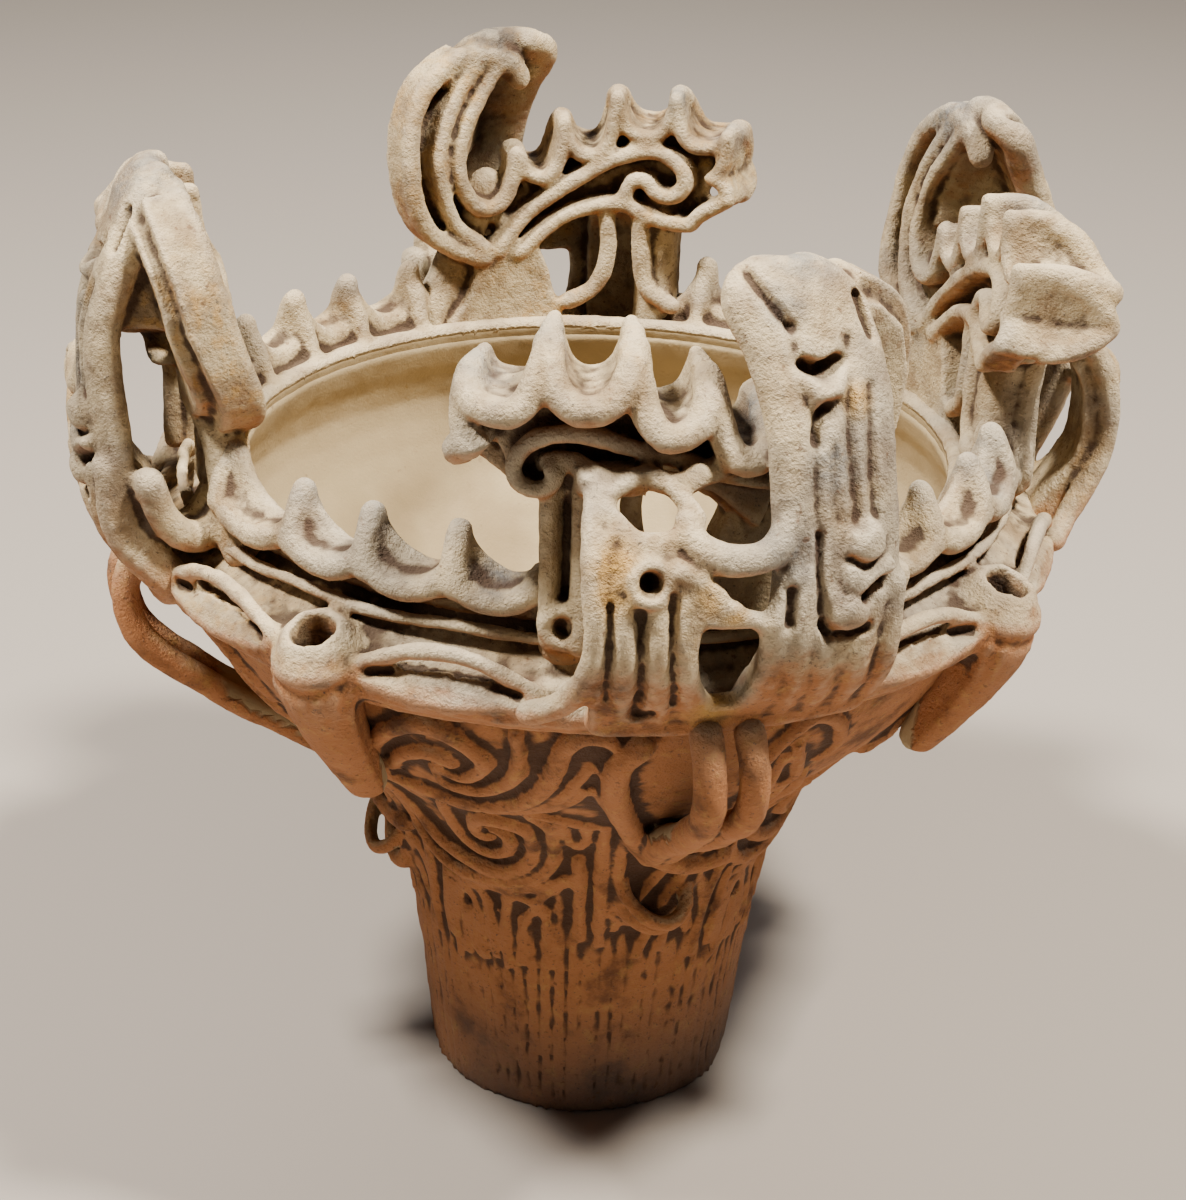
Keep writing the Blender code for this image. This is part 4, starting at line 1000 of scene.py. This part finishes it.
def lay_plate():
    """The arm under the crest, the diamond brow, the front plate with its ring, and the bowl's edge."""
    strand(((-14.5, 44, 8), (-14.2, 45, 16), (-13.8, 46, 24), (-13.0, 45, 27)), 0.0085, 0.0070)
    coil(through(brow_top), 0.0026)
    for path in (brow_foot, brow_arm):
        coil(through(path), 0.0034, widths=(1.0, 1.0, 0.8))
    plate = [[on_handle(turn, rise, plate_face(rise) - 5.2) for turn in (-15.2, -13.2, -11.2, -9.2, -7.4)]
             for rise in (36, 31, 26, 20, 12, 4, -4, -12, -22)]
    slab(smooth_rows(plate), 0.0105)
    coil(over(plate_edge, plate_face, -2.4), 0.0034, widths=(0.8, 1.0, 1.0, 1.1, 1.0))
    ring = on_handle(-9.9, 27, plate_face(27) + 0.4)
    coil([ring + 0.0050 * (math.cos(a) * Vector((0, 1, 0)) + math.sin(a) * Vector((-0.3, 0, 0.95)))
          for a in (2 * math.pi * i / 20 for i in range(20))], 0.0020, closed=True)
    pad(ring - Vector((0.0030, 0, 0)), (0.0062, 0.0035, 0.0062), -9.9)
    coil(through(bowl_edge), 0.0045, widths=(0.8, 1.0, 1.0, 1.0))


def lay_feet():
    """The foot under the tail, the posts and thin straps behind, and the saddles between them."""
    foot = [[on_handle(left + (right - left) * i / 6, rise, 6.0) for i in range(7)]
            for rise, left, right in foot_edges]
    slab(foot, 0.0110)
    coil(smooth([on_handle(20.0 - 0.2 * rise, rise, 10.0) for rise in (50, 36, 20, 8, -6)]), 0.0065,
         widths=(0.9, 1.2))
    coil(smooth([on_handle(-18.4, rise, 10.5) for rise in (46, 36, 20, 6, -8)]), 0.0078, widths=(0.9, 1.05))
    for turn, out, size in ((-20.4, 18, 0.0028), (-16.5, 20, 0.0034)):
        coil(smooth([on_handle(turn, rise, out) for rise in (41, 24, 6, -4)]), size)
    coil([on_handle(-18.4 + 2.2 * math.cos(a), 1.5 + 5 * math.sin(a), 20.0)
          for a in (2 * math.pi * i / 16 for i in range(16))], 0.0025, closed=True)
    for side, spread_by in ((-10.0, 6.5), (-15.8, -6.0)):
        path = ((side, 40), (side - 0.3, 26), (side + 0.25 * spread_by, 14), (side + spread_by, 8))
        coil(smooth([on_handle(turn, rise, 2.5) for turn, rise in path]), 0.0032)
    for turn, out in ((14.0, 0), (17.5, 3)):
        saddle = ((38 - out, 16), (34 - out, 4), (27 - out, -3), (19 - out, -2), (13 - out, 6))
        coil(smooth([on_handle(turn, rise, reach) for reach, rise in saddle]), 0.0048)


def panel_gap(i, j):
    """Where the panel is open: its hole, and the jagged ledge where its upper corner broke off."""
    hole = 2 <= i <= 8 and 2 <= j <= 8 and not (i < 4 and j < 3)
    return hole or (i >= 9 and j > 14 - i)


def lay_panel():
    """The pierced panel between plate and strap, the upright coils on both, and the strap's small face."""
    rows = [[on_handle(-7.6 + i, rise, outer_face(rise) - 3.0) for i in range(13)]
            for rise in (-22, -18, -14, -10, -6, -2, 2, 6, 10, 14, 18, 22, 26, 29)]
    slab(rows, 0.0052, gap=panel_gap)
    coil(over(panel_ledge, out=-2.5), 0.0027, widths=(1.2, 0.8, 1.1, 0.7))
    coil(over(panel_hole, out=-2.6), 0.0025)
    for path, size in plate_coils:
        coil(over(path, out=-2.2), size, widths=(0.8, 1.0, 1.0, 0.8))
    for path, size in strap_coils:
        coil(over(path, out=-3.2), size, widths=(0.9, 1.0, 1.1, 0.8))
    coil(smooth([on_handle(turn, -22, 28) for turn in (-14, -8, -2, 4, 10, 15)]), 0.0048)
    pad(on_handle(10.9, 32.5, outer_face(32) - 1.6), (0.0060, 0.0048, 0.0075), 10.9)
    pad(on_handle(9.4, 15, outer_face(15) - 1.8), (0.0066, 0.0050, 0.0062), 9.4)
    coil(over(((9.4, 27), (9.5, 22.5), (11.2, 23.8), (13.2, 26.5)), out=0.2), 0.0026,
         widths=(0.8, 1.0, 0.8))
    coil(over(((5.2, 76.5), (6.0, 73.4), (7.6, 71.6), (9.4, 73.4), (10.2, 77)), out=-1.6), 0.0032,
         widths=(0.8, 1.0, 0.8))


# Grooves and hollows pressed into the handle: turns and rises, half width and depth in mm
handle_grooves = (
    (((0.4, 104), (1.6, 98), (2.9, 94), (4.9, 88)), 2.3, 3.4, outer_face),
    (((5.1, 88), (5.1, 82), (5.6, 71), (6.0, 61), (6.0, 48), (6.3, 38)), 2.4, 1.5, outer_face),
    (((6.0, 79.4), (7.6, 78.2), (9.6, 79.6)), 2.6, 6.5, outer_face),
    (((6.6, 78), (7.6, 76.6), (8.9, 78)), 2.6, 4.0, outer_face),
    (((7.5, 69.2), (6.8, 67), (6.3, 61)), 2.6, 4.5, outer_face),
    (((8.6, 70), (7.4, 68)), 2.2, 3.0, outer_face),
    (((10.9, 84), (9.9, 70), (9.6, 60), (9.9, 48), (10.2, 38)), 2.5, 1.7, outer_face),
    (((12.6, 73), (12.1, 62), (11.9, 51), (12.2, 40)), 2.2, 1.5, outer_face),
    (((8.0, 60), (7.8, 48), (8.2, 40)), 1.8, 0.8, outer_face),
    (((6.4, 37), (6.2, 27), (6.7, 16), (7.4, 8)), 1.8, 3.4, outer_face),
    (((9.4, 29.4), (11.0, 27.4), (12.6, 29)), 1.9, 3.6, outer_face),
    (((10.8, 18.6), (11.6, 21), (12.8, 22.6)), 2.5, 5.0, outer_face),
    (((6.9, 12), (8.8, 8.2), (11.4, 9.4)), 2.0, 4.2, outer_face),
    (((3.5, 23), (3.3, 14)), 2.1, 4.0, outer_face),
    (((13.6, 94), (14.2, 84)), 2.4, 4.5, outer_face),
    (((-13.6, 21), (-13.5, 8), (-13.7, -9)), 1.7, 3.2, outer_face),
    (((-10.7, 19), (-10.5, 8), (-10.3, -6), (-10.2, -14)), 2.0, 4.6, outer_face),
    (((-10.3, -8), (-10.8, -16), (-8.8, -16)), 2.0, 4.0, outer_face),
    (((-7.8, 24), (-7.7, 8), (-6.8, -12)), 1.7, 3.4, outer_face),
    (((-13.2, 35), (-13.6, 28), (-13.4, 22), (-12.6, 24)), 3.6, 1.4, plate_face),
    (((-9.9, 27.2), (-9.9, 26.8)), 3.7, 9.0, plate_face),
    (((-18.4, 37), (-18.4, 24), (-18.4, 10)), 2.0, 6.5, lambda rise: 19.0),
    (((-18.4, 2.4), (-18.4, 1.0)), 3.1, 8.0, lambda rise: 21.0),
)

for lay_group in (lay_crest, lay_tail, lay_strap, lay_plate, lay_feet, lay_panel):
    lay_group()
presses = []
for line, half, depth, face in handle_grooves:
    turn = math.radians(sum(point[0] for point in line) / len(line))
    inward = Vector((-math.cos(turn), -math.sin(turn), -0.25))
    presses.append((over(line, face, 0.3), half * mm, depth * mm, inward))
first = fused("handle", 0.90 * mm, 150000, presses)
breaks = ((on_handle(-13.2, 30, 42), 0.009), (on_handle(-13.0, 23, 46), 0.008),
          (on_handle(-4.2, 23, 45), 0.006), (on_handle(-2.0, 17, 46), 0.005),
          (on_handle(-2.5, -16, 35), 0.009), (on_handle(11.0, 70, 37), 0.006))
# Each handle's place, how much it is bent straight and leant out, and its sooted and burnt places
handle_copies = (
    ("front", handle_turns[0], 0.0, 0.0,
     ((on_handle(-30.4, 68, 12), 0.016), (on_handle(-21, 80, 12), 0.010), (on_handle(4.6, 60, 14), 0.014),
      (on_handle(8, 103, 14), 0.016), (on_handle(4.6, 92, 22), 0.010), (on_handle(8, 55, 42), 0.012),
      (on_handle(3, 30, 42), 0.012)),
     ((on_handle(-30.6, 63, 20), 0.005), (on_handle(-26, 70, 16), 0.003))),
    ("right", handle_turns[1], 0.8, 0.0,
     ((on_handle(14, 96, 8), 0.022), (on_handle(-11, 80, 14), 0.012), (on_handle(8, 60, 40), 0.020)), ()),
    ("back", handle_turns[2], 0.0, 0.0,
     ((on_handle(-21, 82, 6), 0.010), (on_handle(-30, 70, 8), 0.010)),
     ((on_handle(9, 99, 15), 0.020), (on_handle(9, 84, 24), 0.020), (on_handle(10, 66, 32), 0.020))),
    ("left", handle_turns[3], 0.9, 0.007,
     ((on_handle(8, 96, 16), 0.020), (on_handle(14, 84, 12), 0.012)),
     ((on_handle(9, 66, 36), 0.022), (on_handle(9, 46, 42), 0.022), (on_handle(9, 26, 45), 0.020))),
)
bend_from = lip_height + 0.018
bend_rise = 0.045
lean_rise = 0.075
for name, middle, straight, lean, sooty, burnt in handle_copies:
    thing = first.copy()
    thing.data = first.data.copy()
    thing.name = "handle_" + name
    bpy.context.scene.collection.objects.link(thing)
    marked_wear_and_shade(thing, breaks, sooty, burnt)
    places = points_of(thing)[0]
    lift = np.clip((places[:, 2] - bend_from) / bend_rise, 0, 1)
    bend = np.hypot(places[:, 0], places[:, 1]) - places[:, 0]
    places[:, 0] += lift ** 2 * (3 - 2 * lift) * straight * bend
    places[:, 0] += lean * np.clip((places[:, 2] - bend_from) / lean_rise, 0, 1)
    thing.data.vertices.foreach_set("co", places.ravel())
    thing.data.transform(Matrix.Rotation(math.radians(middle), 4, "Z"))
    fired(thing)
bpy.data.objects.remove(first, do_unlink=True)
